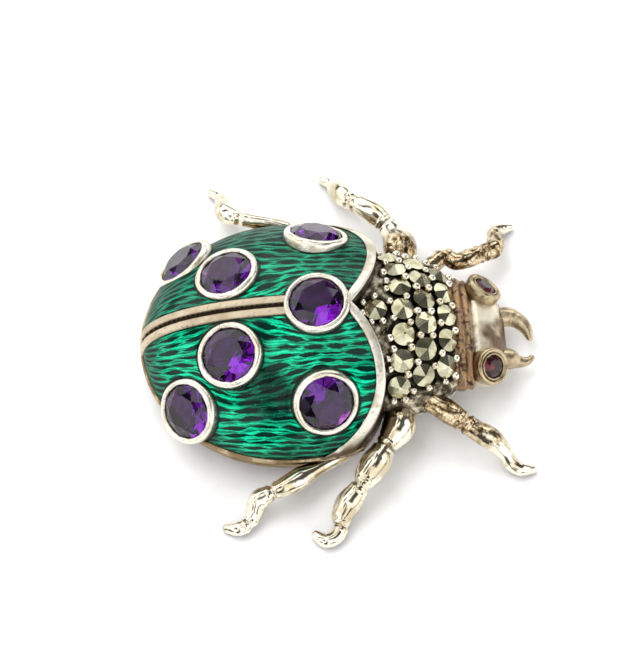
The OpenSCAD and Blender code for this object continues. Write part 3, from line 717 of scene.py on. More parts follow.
for side, word in ((1, "left"), (-1, "right")):
    dice = np.random.default_rng(21 + side)
    lines = []
    for inset, lift in rim_profile:
        line = front_line(inset, 110)
        along = np.linspace(0, 2 * math.pi, len(line))
        rough_lift = lift + (wobble(along, (3, 5, 8, 13, 21), 0.012, dice) if lift > 0 else 0.0)
        points = on_dome(line[:, 0], line[:, 1], 0.0 if lift == foot else rough_lift)
        if lift == foot:
            points[:, 2] = base_z + foot_gap
        points[:, 1] *= side
        lines.append(points)
    rings = np.array(lines).transpose(1, 0, 2)
    stands = rings[:, -3, 2] > base_z + 0.2
    last = int(np.nonzero(stands)[0].max())
    rim = rough_piece(f"front_rim_{word}", [skin(rings[:last + 1], cap_start=True, cap_end=True)])
    finish_piece(rim, rim_silver, ["wing_case"], crease=60)


# %% [markdown]
# ## Edge round the base
# The foot of the dome ends in a plain band, brown because no hand rubs it. Each line of its profile stays
# at one height, so its plan is found by halving: go out where the dome is still higher, else come in.

# %% Plain edge round the base
def plan_reach(psi, height, t):
    """Distance from the widest place's middle at which the dome has a given height."""
    low, high = np.zeros_like(psi), np.full_like(psi, 17.5)
    for _ in range(44):
        mid = 0.5 * (low + high)
        x, y = mid * np.cos(psi) - widest_back, mid * np.sin(psi)
        inside = case_height(x, y, t) - base_z > height
        low = np.where(inside, mid, low)
        high = np.where(inside, high, mid)
    return low


psi = np.radians(np.linspace(61, 299, 420))
edge_dice = np.random.default_rng(31)
lines = []
# Height over the base and depth under the enamel's outside, from the inner foot round the outside
edge_profile = [(foot_gap, 0.9), (foot_gap, -0.13), (0.07, -0.185), (0.16, -0.20), (0.28, -0.195),
                (0.37, -0.17), (0.425, -0.12), (edge_h, -0.04), (edge_h, 0.05), (0.44, 0.5), (0.3, 0.9)]
for height, t in edge_profile:
    sway = wobble(psi * 1.5, (3, 7, 12, 19), 0.01, edge_dice) if t < 0 else 0.0
    reach = plan_reach(psi, height, t) + sway
    lines.append(np.stack([reach * np.cos(psi) - widest_back, reach * np.sin(psi),
                           np.full_like(psi, base_z + height)], 1))
edge = rough_piece("base_edge", [skin(np.array(lines).transpose(1, 0, 2), cap_start=True, cap_end=True)])
finish_piece(edge, edge_silver, ["wing_case"], crease=60)

# %% [markdown]
# ## Bezels
# A bezel is a strip of silver bent round the stone and pushed over its edge with a burnisher. The hand
# leaves its rim a little uneven, and its inner lip ragged where it meets the stone. A lathe profile gives
# the wall, and chance waves round the ring give the hand.

# %% Seven bezels
# Radius, height, share of the waves of the wall, share of the raggedness of the lip
bezel_profile = [
    (2.45, -1.15, 0.0, 0.0), (2.80, -1.10, 0.0, 0.0), (2.86, -0.60, 0.4, 0.0), (2.885, -0.15, 1.0, 0.0),
    (2.885, 0.02, 1.0, 0.0), (2.86, 0.13, 1.0, 0.0), (2.80, 0.25, 1.0, 0.0), (2.72, 0.335, 0.8, 0.1),
    (2.62, 0.385, 0.6, 0.3), (2.52, 0.395, 0.4, 0.6), (2.44, 0.375, 0.2, 0.9), (2.375, 0.34, 0.0, 1.0),
    (2.335, 0.30, 0.0, 1.0), (2.31, 0.265, 0.0, 1.0), (2.345, 0.215, 0.0, 0.8), (2.44, 0.14, 0.0, 0.4),
    (2.53, 0.09, 0.0, 0.0), (2.53, -0.10, 0.0, 0.0), (2.15, -0.47, 0.0, 0.0), (2.15, -1.12, 0.0, 0.0)]


def turned_ring(profile, turn, middle, dice, sides=112, outer=0.022, inner=0.03, rise=0.018):
    """A ring from the lathe, with its wall, its lip and its height made uneven by hand."""
    a = np.linspace(0, 2 * math.pi, sides, endpoint=False)
    push = wobble(a, (2, 3, 5, 7), outer, dice)
    ragged = wobble(a, (5, 8, 11, 15, 19, 26), inner, dice)
    height = wobble(a, (2, 3, 4, 9), rise, dice)
    rings = []
    for radius, z, by_push, by_lip in profile:
        r = radius + push * by_push + ragged * by_lip
        up = z + height * max(by_push, by_lip) * (1 if z > 0.1 else 0)
        rings.append(np.stack([r * np.cos(a), r * np.sin(a), up + 0 * a], 1) @ turn.T + middle)
    return skin(rings, round_rows=True)


for number, (name, side, turn, middle) in enumerate(bezels):
    word = {0: "", 1: "_left", -1: "_right"}[side]
    ring = rough_piece(f"bezel_{name}{word}",
                       [turned_ring(bezel_profile, turn, middle, np.random.default_rng(40 + number))])
    finish_piece(ring, bezel_silver, ["wing_case"], crease=65)

# %% [markdown]
# ## Green enamel: the stream of strokes
# The silver under the enamel is cut with hundreds of short strokes, and green glass is melted over it. The
# strokes run from head to tail and part round the bezels as water does round a post. So each point of the
# enamel gets two numbers, how far along and how far across that stream it lies.

# %% Where a point lies in the stream of strokes
def arch_length(x, y, parts=26):
    """Length over the dome from the seam to a point, and its angle across as a share of a right angle."""
    w, crest = np.maximum(case_half_width(x), 1e-3), case_crest(x)
    share = np.clip(np.abs(y) / w, 0, 1) ** (section_power / 2)
    angle = np.arcsin(share)
    total = np.zeros_like(x)
    before_y, before_z = np.zeros_like(x), crest
    for k in range(1, parts + 1):
        c, s = bulge(angle * k / parts, section_power)
        total += np.hypot(w * s - before_y, crest * c - before_z)
        before_y, before_z = w * s, crest * c
    return total, angle / (math.pi / 2)


crest_x = case_rows(12.0, -case_rear, 400)[::-1]
crest_run = np.concatenate([[0], np.cumsum(np.hypot(np.diff(crest_x), np.diff(case_crest(crest_x))))])
# Across the stream, strokes fan out with the dome by this share, and keep their distance by the rest
fan_share = 0.45
full_arch = 14.5


def stream_place(x, y):
    """How far along and across a place lies before the bezels part the stream."""
    across, share = arch_length(x, y)
    return np.interp(x, crest_x, crest_run), (1 - fan_share) * across + fan_share * share * full_arch


post_r2 = 2.75 ** 2
parting = 0.4
posts = {}
for name, side, _, middle in bezels:
    if side >= 0:
        along, across = stream_place(np.array([middle[0]]), np.array([middle[1]]))
        posts[name] = (float(along[0]), float(across[0]))
print("bezels in the stream:", {name: [round(v, 1) for v in place] for name, place in posts.items()})


def stream(x, y):
    """How far along and across a place lies in the stream that parts round the bezels."""
    along, across = stream_place(x, y)
    u, v = along.copy(), across.copy()
    for post_u, post_v in posts.values():
        du, dv = along - post_u, across - post_v
        r2 = np.maximum(du * du + dv * dv, post_r2)
        u += parting * post_r2 * du / r2
        v -= parting * post_r2 * dv / r2
    return u, v


# %% [markdown]
# ## Green enamel: the two halves
# Each half is a slab of glass that fills its field between rail, rim, edge and bezels, and climbs a little
# where it wets a bezel. Round bars saw out the bezels' places. Each point then keeps its two numbers in
# the stream, and as a third one its distance from the nearest silver.

# %% The two halves of the enamel
def enamel_face(t, lines_across=110, lines_along=190):
    """Sheet of points over the left half of the enamel, moved inwards by t."""
    def gap(x):
        w, crest = case_half_width(x), case_crest(x)
        return (seam_half / w) ** section_power + (edge_h / crest) ** section_power

    low, high = -case_rear + 0.001, -10.0
    for _ in range(50):
        mid = 0.5 * (low + high)
        low, high = (mid, high) if gap(mid) > 1 else (low, mid)
    x_tail = high
    rows = []
    for q in np.linspace(0, 1, lines_across):
        def angle_at(x):
            inner = np.arcsin(np.clip(seam_half / case_half_width(x), 0, 1) ** (section_power / 2))
            outer = np.arccos(np.clip(edge_h / case_crest(x), 0, 1) ** (section_power / 2))
            return inner + q * (outer - inner)

        x_end = 2.0
        for _ in range(40):
            y_end = case_half_width(x_end) * bulge(angle_at(x_end), section_power)[1]
            x_end = 0.5 * x_end + 0.5 * float(front_edge(y_end, rim_w))
        x = case_rows(x_end, x_tail, lines_along)
        c, s = bulge(angle_at(x), section_power)
        y = case_half_width(x) * s
        z = base_z + case_crest(x) * c
        rows.append(np.stack([x, y, z], 1))
    rows = np.array(rows)
    if t == 0:
        return rows
    down = np.stack([rows[..., 0] / 14 ** 2, rows[..., 1] / case_half_w ** 2 * 1.4,
                     (rows[..., 2] - base_z + 2.0) / case_h ** 2], -1)
    down /= np.linalg.norm(down, axis=-1, keepdims=True)
    return rows - t * down


bezel_reach = 2.5
climb_h = 0.10
climb_w = 0.22


def pool_up(points):
    """How far the enamel climbs where it wets a bezel."""
    lift = np.zeros(len(points))
    for _, _, turn, middle in bezels:
        local = (points - middle) @ turn
        ring_gap = np.hypot(local[:, 0], local[:, 1]) - bezel_r
        near = np.abs(local[:, 2]) < bezel_reach
        lift += np.where(near, climb_h * np.exp(-np.clip(ring_gap, 0, None) / climb_w), 0)
    return lift


enamel_top = enamel_face(0)
enamel_top[..., 2] += pool_up(enamel_top.reshape(-1, 3)).reshape(enamel_top.shape[:2])
enamel_deep = 0.42
slab = slab_skin(enamel_top, enamel_face(enamel_deep))


def edge_gap(points):
    """Distance from a point of the enamel to the nearest silver."""
    x, y, z = points[:, 0], np.abs(points[:, 1]), points[:, 2]
    gap = np.minimum(y - seam_half, z - base_z - edge_h)
    gap = np.minimum(gap, front_edge(y, rim_w) - x)
    for _, _, turn, middle in bezels:
        local = (points - middle) @ turn
        ring_gap = np.hypot(local[:, 0], local[:, 1]) - bezel_r
        gap = np.where(np.abs(local[:, 2]) < bezel_reach, np.minimum(gap, ring_gap), gap)
    return np.clip(gap, 0, 3)


enamels = {}
for side, word in ((1, "left"), (-1, "right")):
    points = slab[0] * [1, side, 1]
    half = rough_piece(f"enamel_work_{word}", [(points, slab[1])])
    drums = [drum(turn, middle, bezel_r - 0.09, -2.2, 2.2) for _, spot_side, turn, middle in bezels
             if spot_side in (0, side)]
    half = cut_away(half, rough_piece("drums", drums))
    count = len(half.data.vertices)
    co = np.empty(count * 3)
    half.data.vertices.foreach_get("co", co)
    co = co.reshape(-1, 3)
    u, v = stream(co[:, 0], co[:, 1])
    grid = half.data.attributes.new("stream", "FLOAT_VECTOR", "POINT")
    grid.data.foreach_set("vector", np.stack([u, v * side, edge_gap(co)], 1).astype(np.float32).ravel())
    enamels[word] = half
    print(f"enamel {word}: {count} points, stream {u.min():.1f} to {u.max():.1f} mm along")

# %% [markdown]
# ## Green enamel: strokes and colour
# The strokes are dark where they are deep, and the silver between them throws light back through the glass.
# They could be carved, but there are hundreds of them under a smooth surface, so the finish draws them by
# the numbers of the stream, as rows of slender lens shapes. A clear coat over a metallic green gives the
# gloss, and bright specks painted into the green stand in for glints. The glass is dark beside the silver.
# Its green is painted darker as shade where it is seen aslant, and one pool on the right half is painted
# dark as shade.

# %% One layer of cut strokes
def stroke_layer(r, along, across, width, length, seed, fat):
    """1 inside a stroke and 0 between the strokes, with a chance shade for each stroke."""
    row_at = r.sum("ADD", r.sum("DIVIDE", across, width), seed * 0.37)
    row = r.sum("FLOOR", row_at)
    pair = r.add("ShaderNodeCombineXYZ")
    r.put(pair.inputs[0], row)
    pair.inputs[1].default_value = seed
    dice = r.add("ShaderNodeTexWhiteNoise")
    r.put(dice.inputs["Vector"], pair.outputs[0])
    cell_at = r.sum("ADD", r.sum("DIVIDE", along, length), r.sum("MULTIPLY", dice.outputs["Value"], 7))
    triple = r.add("ShaderNodeCombineXYZ")
    r.put(triple.inputs[0], row)
    r.put(triple.inputs[1], r.sum("FLOOR", cell_at))
    triple.inputs[2].default_value = seed + 3
    each = r.add("ShaderNodeTexWhiteNoise")
    r.put(each.inputs["Vector"], triple.outputs[0])
    chance = each.outputs["Value"]
    end = r.sum("MULTIPLY", r.sum("ABSOLUTE", r.sum("SUBTRACT", r.sum("FRACT", cell_at), 0.5)), 2.05)
    room = r.sum("SUBTRACT", 1.0, r.sum("POWER", end, 2.0))
    room = r.sum("MULTIPLY", room, r.sum("ADD", r.sum("MULTIPLY", chance, fat * 0.7), fat * 0.55))
    off = r.sum("ABSOLUTE", r.sum("SUBTRACT", r.sum("FRACT", row_at), 0.5))
    return r.step(r.sum("SUBTRACT", room, off), -0.05, 0.07), chance


# %% Finish of the enamel: cut strokes under green glass
r = Recipe("green_enamel")
grid = r.add("ShaderNodeAttribute")
grid.attribute_name = "stream"
along, across, gap = r.axes(grid.outputs["Vector"])
sway = r.sum("MULTIPLY", r.sum("SUBTRACT", r.noise(2.2, 2, 0.5), 0.5), 0.5)
across = r.sum("ADD", across, sway)
fray = r.sum("MULTIPLY", r.sum("SUBTRACT", r.noise(0.22, 3, 0.6), 0.5), 0.16)
frayed = r.sum("ADD", across, fray)
big, big_chance = stroke_layer(r, along, frayed, 0.66, 2.4, 1.0, 0.34)
fine, _ = stroke_layer(r, along, frayed, 0.36, 1.5, 5.0, 0.20)
cut = r.sum("MAXIMUM", big, r.sum("MULTIPLY", fine, 0.75))
glint = r.noise(0.13, 4, 0.75)
streak_place = r.add("ShaderNodeCombineXYZ")
r.put(streak_place.inputs[0], r.sum("MULTIPLY", along, 0.55))
r.put(streak_place.inputs[1], r.sum("MULTIPLY", across, 5.5))
streaks = r.noise(1.0, 4, 0.65, place=streak_place.outputs[0])
patches = r.noise(5.5, 2, 0.5)
bright = r.colours(streaks, [
    (0.34, (0.000, 0.100, 0.050)), (0.43, (0.000, 0.45, 0.215)), (0.52, (0.004, 0.92, 0.46)),
    (0.63, (0.020, 1.00, 0.60))])
glass = r.blend(r.step(patches, 0.36, 0.56, 0.65, 0.0), bright, (0.0, 0.060, 0.034))
# Painted shade: a dark pool on the right half of the glass, between two bezels.
shade_pool_x, shade_pool_y = -4.5, -7.5
shade_pool_place = (shade_pool_x + x_shift, shade_pool_y, float(case_height(shade_pool_x, shade_pool_y)))
to_shade_pool = r.sum("ADD", r.vector("DISTANCE", r.place, shade_pool_place), r.sum("MULTIPLY", patches, 1.5))
glass = r.blend(r.step(to_shade_pool, 2.4, 4.4, 0.86, 0.0), glass, (0.0, 0.026, 0.015))
# Painted shade: the glass is darkened where it is seen aslant, which darkens the far half.
aslant = r.add("ShaderNodeLayerWeight").outputs["Facing"]
glass = r.blend(r.step(aslant, 0.12, 0.55, 0.0, 0.78), glass, (0.0, 0.050, 0.028))
# Painted highlight: bright near-white green specks in the glass's colour stand in for glints.
glass = r.blend(r.sum("MULTIPLY", r.step(glint, 0.58, 0.72), 0.8), glass, (0.12, 1.0, 0.68))
dark = r.blend(big_chance, (0.0, 0.004, 0.004), (0.0, 0.020, 0.014))
glass = r.blend(r.sum("MULTIPLY", cut, 0.97), glass, dark)
glass = r.blend(r.step(gap, 0.04, 0.22, 0.97, 0.0), glass, (0.0, 0.008, 0.006))
r.set(Base_Color=glass, Metallic=0.70, IOR=1.15, Coat_Roughness=0.03, Coat_IOR=1.33)
r.set(Coat_Weight=r.step(aslant, 0.20, 0.65, 0.6, 0.12))
r.set(Roughness=r.sum("ADD", r.sum("MULTIPLY", cut, 0.15), 0.32))
rough_floor = r.sum("ADD", r.sum("MULTIPLY", streaks, 0.8), r.sum("MULTIPLY", glint, 0.25))
carved = r.sum("SUBTRACT", rough_floor, cut)
r.set(Normal=r.relief(carved, 0.24))
for word, half in enamels.items():
    half.name = f"enamel_glass_{word}"
    finish_piece(half, r.finish, [f"enamel_{word}"], crease=45)

# %% [markdown]
# ## Cut stones
# Seven round amethysts and two dark red eye stones are cut as brilliants: a table on top, kites, stars and
# small facets round it, and a pavilion below that throws light back. The CAD solids have these facets
# already, so they stay and get a gem finish: clear glass that swallows light on its way. Amethyst is
# never evenly coloured: it has lighter and darker zones.

# %% Finishes of the clear stones
def gem_finish(name, pale, deep, swallow, density, bend, clear):
    """Clear stone in pale and deep zones. swallow is the colour that a long way through it leaves."""
    r = Recipe(name)
    zones = r.noise(1.6, 2, 0.5, twist=0.8)
    r.set(Base_Color=r.blend(r.step(zones, 0.35, 0.65), pale, deep))
    r.set(Roughness=r.sum("MULTIPLY", r.step(r.noise(0.5, 4, 0.7), 0.6, 0.8), 0.06))
    r.set(IOR=bend, Transmission_Weight=clear)
    body = r.add("ShaderNodeVolumeAbsorption")
    body.inputs["Color"].default_value = (*swallow, 1)
    body.inputs["Density"].default_value = density
    r.tree.links.new(body.outputs[0], r.out.inputs["Volume"])
    return r.finish


amethyst = gem_finish("amethyst", pale=(0.74, 0.34, 0.82), deep=(0.46, 0.15, 0.60),
                      swallow=(0.60, 0.10, 0.74), density=850, bend=1.54, clear=1.0)
eye_red = gem_finish("eye_garnet", pale=(0.42, 0.07, 0.13), deep=(0.20, 0.03, 0.07),
                     swallow=(0.45, 0.03, 0.10), density=1000, bend=1.52, clear=0.97)
for name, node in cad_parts.items():
    if name.startswith("amethyst"):
        node.material_slots[0].material = amethyst
    if name.startswith("eye_stone"):
        node.material_slots[0].material = eye_red
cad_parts["brooch_pin"].material_slots[0].material = pin_wire
print("clear stones: 9")

# %% [markdown]
# ## Thorax
# The thorax is a silver saddle full of small stones. It has a formula as the dome has, so that the stones
# and beads can ask it for their height and their lean.

# %% Shape of the thorax
thorax_half_w = 7.7
thorax_h = 5.3
thorax_front = 11.9
thorax_wall = 1.1
thorax_power = 1.9
small_d = 2
pitch = small_d + 0.33
small_h = 0.55
grain_d = 0.72


def ease(x, start, end):
    """1 up to start, then a quarter of an ellipse down to 0 at end."""
    return np.sqrt(np.clip(1 - (np.clip(x - start, 0, None) / (end - start)) ** 2, 0, None))


def thorax_w(x):
    return thorax_half_w * ease(x, 7, thorax_front + 2.15)


def thorax_rise(x):
    return thorax_h * ease(x, 6, thorax_front + 1.3)


def thorax_z(x, y):
    arch = np.clip(1 - (np.abs(y) / thorax_w(x)) ** thorax_power, 0, None) ** (1 / thorax_power)
    return base_z + thorax_rise(x) * arch


def thorax_frame(x, y, spin=0.0):
    """Turn and middle of a thing that sits flat on the thorax."""
    step = 0.05
    slope_x = (thorax_z(x + step, y) - thorax_z(x - step, y)) / (2 * step)
    slope_y = (thorax_z(x, y + step) - thorax_z(x, y - step)) / (2 * step)
    up = Vector((-slope_x, -slope_y, 1)).normalized()
    turn = up.to_track_quat("Z", "Y").to_matrix() @ Matrix.Rotation(spin, 3, "Z")
    return np.array(turn), np.array([x, y, float(thorax_z(x, y))])


def row_place(x, steps):
    """Place of a stone so many pitches off the middle, in a row that curves back on both sides."""
    round_r = 1.15 * thorax_half_w
    y = round_r * math.sin(steps * pitch / round_r)
    return x - 0.017 * y * y, y


print(f"the thorax stands {base_z + thorax_h:.1f} mm high and is {2 * thorax_half_w} mm wide")

# %% [markdown]
# ## Rows of stones and beads
# Nineteen small stones lie in four rows that curve back on both sides, and beads of silver pushed up beside
# them hold them down. A goldsmith raises the beads close to the rim of a stone and clear of each other.
# They could be placed one by one, but a search over a fine grid finds such places, also after a size has
# changed.

# %% Places of the small stones
# Each row: how far ahead as a share of the thorax, and its number of stones
SMALL_ROWS = ((0.425, 1), (0.622, 7), (0.787, 6), (0.945, 5))
small_places = []
for ahead, count in SMALL_ROWS:
    row_x = ahead * thorax_front
    small_places += [row_place(row_x, k - (count - 1) / 2) for k in range(count)]


def on_thorax(x, y):
    x, y = np.asarray(x, float), np.asarray(y, float)
    return np.stack([x, y, thorax_z(x, y)], -1)


stone_spots = on_thorax(*np.array(small_places).T)
print(f"{len(small_places)} small stones")

# %% Places of the beads
grain_grid = 0.09
grain_apart = 0.92
nearest_bead = 1.24
farthest_bead = 1.45
tries = np.stack(np.meshgrid(np.arange(3.5, thorax_front - 0.1, grain_grid),
                             np.arange(-7.3, 7.3, grain_grid)), -1).reshape(-1, 2)
on_top = thorax_w(tries[:, 0]) - np.abs(tries[:, 1]) > 0.3
past_rims = tries[:, 0] > front_edge(tries[:, 1]) + 0.42
tries = tries[on_top & past_rims]
try_spots = on_thorax(*tries.T)
to_stone = np.linalg.norm(try_spots[:, None] - stone_spots[None], axis=2).min(1)
grain_places = []
grain_spots = []
for k in np.argsort(to_stone):
    if to_stone[k] < nearest_bead or to_stone[k] > farthest_bead:
        continue
    if all(np.linalg.norm(try_spots[k] - spot) > grain_apart for spot in grain_spots):
        grain_spots.append(try_spots[k])
        grain_places.append(tuple(tries[k]))
print(f"{len(grain_places)} beads")

# %% [markdown]
# ## Saddle
# The silver was blackened with sulphur, so that the stones and the bright beads stand out. The black stays
# round the stones and is rubbed off the open ground. The saddle is a shell whose top is dented under each
# stone, and the finish blackens each point by its distance from the nearest stone's rim.

# %% The blackened saddle
seat_r = 1.16
seat_wall = 0.14
seat_deep = 0.22
collar_r = 1.22
collar_w = 0.07
collar_h = 0.03


def seat_dents(x, y):
    """How deep the saddle is dented for the stones, with a low collar round each seat."""
    depth = np.zeros_like(x)
    for place_x, place_y in small_places:
        flat_gap = np.hypot(x - place_x, (y - place_y) * np.sqrt(1 + (place_y / 7) ** 2))
        wall = np.clip((seat_r - flat_gap) / seat_wall, 0, 1)
        depth = np.maximum(depth, seat_deep * wall * wall * (3 - 2 * wall))
        depth -= collar_h * np.exp(-((flat_gap - collar_r) / collar_w) ** 2)
    return depth


def saddle_face(inside, rows=120, cols=240):
    """Sheet of points over the thorax, from the foot of one wall over the top to the other."""
    wall = thorax_wall if inside else 0.0
    low_angle = math.radians(36)
    out = []
    for a in np.linspace(-low_angle, math.pi + low_angle, cols):
        upper = 0 <= a <= math.pi
        c, s = bulge(np.array(a), thorax_power if upper else 3)
        start = 1.5
        if upper:
            start = float(front_edge((thorax_half_w - wall) * abs(c))) + 0.03
        x = np.linspace(start, thorax_front - wall, rows)
        if inside:
            y = (thorax_w(x) - wall) * (c if upper else np.sign(c))
        else:
            y = thorax_w(x) * c
        if upper:
            z = base_z + (thorax_rise(x) - wall) * s
            if not inside:
                z = z - seat_dents(x, y)
        else:
            z = base_z + (base_z - ring_lift) * s * (0.72 if inside else 1)
        out.append(np.stack([x, y, z + 0 * x], 1))
    return np.array(out)


saddle = rough_piece("thorax_saddle", [slab_skin(saddle_face(False), saddle_face(True))])
# Each point keeps its distance from the nearest stone's rim, which the finish blackens by
spots = np.array([v.co for v in saddle.data.vertices])
rim_gap = np.linalg.norm(spots[:, None] - stone_spots[None], axis=2).min(1) - small_d / 2
inner = spots[:, 2] < thorax_z(spots[:, 0], spots[:, 1]) - 0.6
rim_gap[inner] = 3
field = saddle.data.attributes.new("field", "FLOAT", "POINT")
field.data.foreach_set("value", np.clip(rim_gap, 0, 3).astype(np.float32))
print(f"the saddle's top has {int((~inner).sum())} points")

# %% Finish of the saddle: black round the stones, rubbed bright beyond
r = Recipe("oxidised_silver")
clouds = r.noise(0.9, 5, 0.65)
chips = r.noise(0.16, 4, 0.7)
ground = r.colours(clouds, [
    (0.40, (0.03, 0.02, 0.012)), (0.51, (0.30, 0.25, 0.17)), (0.60, (0.86, 0.80, 0.64))])
ground = r.blend(r.step(chips, 0.58, 0.70), ground, (0.74, 0.70, 0.57))
from_stones = r.add("ShaderNodeAttribute")
from_stones.attribute_name = "field"
frayed_gap = r.sum("ADD", from_stones.outputs["Fac"], r.sum("MULTIPLY", chips, 0.5))
black = r.step(frayed_gap, 0.55, 0.95, 0.96, 0.0)
black = r.sum("MAXIMUM", black, r.step(r.hollows(0.6), 0.35, 0.85))
ground = r.blend(black, ground, (0.012, 0.010, 0.008))
r.set(Base_Color=ground, Metallic=1.0, Roughness=r.sum("ADD", r.sum("MULTIPLY", clouds, 0.35), 0.22))
r.set(Normal=r.relief(r.sum("ADD", clouds, r.sum("MULTIPLY", chips, 0.4)), 0.22))
finish_piece(saddle, r.finish, ["silver_body"], crease=60)

# %% [markdown]
# ## Beads
# A bead is a curl of silver that was rolled round under a hollow punch. A ready-made ball would do from
# afar, but each bead here has a size of its own and rings that are a little out of round.

# %% Beads of silver between the stones
bead_dice = np.random.default_rng(5)
bead_raise = 0.16
a = np.linspace(0, 2 * math.pi, 20, endpoint=False)
beads = []
for x, y in grain_places:
    x += bead_dice.uniform(-0.04, 0.04)
    y += bead_dice.uniform(-0.04, 0.04)
    turn, middle = thorax_frame(x, y)
    size = grain_d / 2 * bead_dice.uniform(0.86, 1.10)
    rings = []
    for tilt in np.radians(np.linspace(-88, 88, 13)):
        squash = 1 + 0.07 * np.cos(2 * a + bead_dice.uniform(0, 6))
        reach = size * math.cos(tilt)
        ring = np.stack([reach * np.cos(a) * squash, reach * np.sin(a),
                         size * math.sin(tilt) * 1.05 + bead_raise + 0 * a], 1)
        rings.append(ring @ turn.T + middle)
    beads.append(skin(rings, cap_start=True, cap_end=True))
finish_piece(rough_piece("thorax_beads", beads), polished_silver, ["silver_body"])

# %% [markdown]
# ## Pyramid-cut stones
# The small stones are round and cut to low pyramids of six facets, so their rims run in six shallow waves.
# Each is turned and tilted by chance, so that one facet flashes while its neighbour is dark. They are
# opaque and shine like metal, dulled here and there by dust.

# %% Nineteen pyramid-cut stones
stone_dice = np.random.default_rng(9)
pyramids = []
for x, y in small_places:
    turn, middle = thorax_frame(x, y, stone_dice.uniform(0, math.pi / 3))
    lean = Matrix.Rotation(math.radians(stone_dice.uniform(-5, 5)), 3, "X")
    lean = np.array(lean @ Matrix.Rotation(math.radians(stone_dice.uniform(-5, 5)), 3, "Y"))
    table_r = stone_dice.uniform(0.05, 0.13)
    a = np.radians(np.arange(0, 360, 7.5))
    half_facet = math.pi / 6
    off = (a % (2 * half_facet)) - half_facet
    slope = (small_h - 0.14) / (math.cos(half_facet) * (1 - table_r))
    girdle = small_h - slope * (np.cos(off) - table_r * math.cos(half_facet))
    corner = math.cos(half_facet) / np.cos(off)
    full_r = small_d / 2 + 0 * a
    rings = []
    for radius, z in ((table_r * corner, small_h + 0 * a), (full_r, girdle), (full_r, girdle - 0.08),
                      (0.82 * full_r, -0.21 + 0 * a)):
        ring = np.stack([radius * np.cos(a), radius * np.sin(a), z], 1)
        rings.append(ring @ lean.T @ turn.T + middle)
    pyramids.append(skin(rings, cap_start=True, cap_end=True))
print(f"{len(pyramids)} pyramids of six facets")

# %% Finish of the small stones
r = Recipe("marcasite")
facet_dust = r.noise(0.12, 5, 0.7)
tone = r.noise(1.4, 2, 0.5)
stone_colour = r.colours(tone, [
    (0.3, (0.36, 0.34, 0.21)), (0.5, (0.58, 0.55, 0.38)), (0.72, (0.76, 0.73, 0.55))])
stone_colour = r.blend(r.step(facet_dust, 0.60, 0.72), stone_colour, (0.10, 0.09, 0.05))
r.set(Base_Color=stone_colour, Metallic=1.0, Normal=r.relief(facet_dust, 0.006))
r.set(Roughness=r.sum("ADD", r.sum("MULTIPLY", facet_dust, 0.16), 0.06))
pyramid_field = rough_piece("pyramid_stones", pyramids)
finish_piece(pyramid_field, r.finish, ["thorax_stones"], crease=8)

# %% [markdown]
# ## Neck and head
# Behind the head the neck has two raised rings, and the head is a low dome with an eye collar on each
# cheek. Cast silver keeps a grain in such places, and the tarnish there has run to orange, purple and
# brown. The form is a loft through oval sections: the same sections as the solid, drawn much finer. Its
# first ring is tucked into the thorax's wall, so that no light shows between the two.

# %% Neck and head
head_len = 4.8
head_half_w = 5.5
head_top = 6.1
# Each section: how far ahead, its half width, then the heights of its top, middle and bottom, all as shares
HEAD_ROWS = [
    [0.030, 0.97, 0.940, 0.50, 0.230], [0.150, 0.99, 0.965, 0.50, 0.230], [0.230, 0.95, 0.890, 0.49, 0.235],
    [0.310, 0.96, 0.885, 0.48, 0.235], [0.385, 0.90, 0.800, 0.46, 0.240], [0.480, 0.91, 0.805, 0.45, 0.245],
    [0.625, 0.90, 0.750, 0.43, 0.250], [0.770, 0.84, 0.670, 0.41, 0.255], [0.895, 0.72, 0.570, 0.39, 0.260],
    [0.985, 0.48, 0.460, 0.37, 0.280]]
head_rows = [[thorax_front + row[0] * head_len, row[1] * head_half_w] + [v * head_top for v in row[2:]]
             for row in HEAD_ROWS]
tuck_x = thorax_front - 0.4
tuck_w = float(thorax_w(np.array(tuck_x))) - 0.23
tuck_top = float(thorax_z(np.array(tuck_x), 0.0)) - 0.3
neck_start = [tuck_x, tuck_w, tuck_top, base_z, ring_lift + 0.15]
fine_rows = [neck_start] + list(curve_through(head_rows, 9))
tip = fine_rows[-1]
for ahead, share in ((0.06, 0.88), (0.10, 0.66), (0.12, 0.3)):
    fine_rows.append([tip[0] + ahead, tip[1] * share, tip[3] + (tip[2] - tip[3]) * share, tip[3],
                      tip[3] + (tip[4] - tip[3]) * share])
head_dice = np.random.default_rng(15)
a = np.linspace(0, 2 * math.pi, 132, endpoint=False)
rings = []
c, s = bulge(a, thorax_power)
c_low, low = bulge(a, 3)
up = np.sin(a) >= 0
for x, w, top, middle, bottom in fine_rows:
    grain = wobble(a, (4, 9, 17, 25, 33), 0.012, head_dice)
    y = w * np.where(up, c, c_low) * (1 + grain / w)
    z = middle + np.where(up, (top - middle) * s, (middle - bottom) * low) + grain * (np.sin(a) > 0.1)
    rings.append(np.stack([x + 0 * a, y, z], 1))
head = rough_piece("neck_and_head", [skin(rings, cap_start=True, cap_end=True)])
print(f"neck and head: {len(fine_rows)} sections")

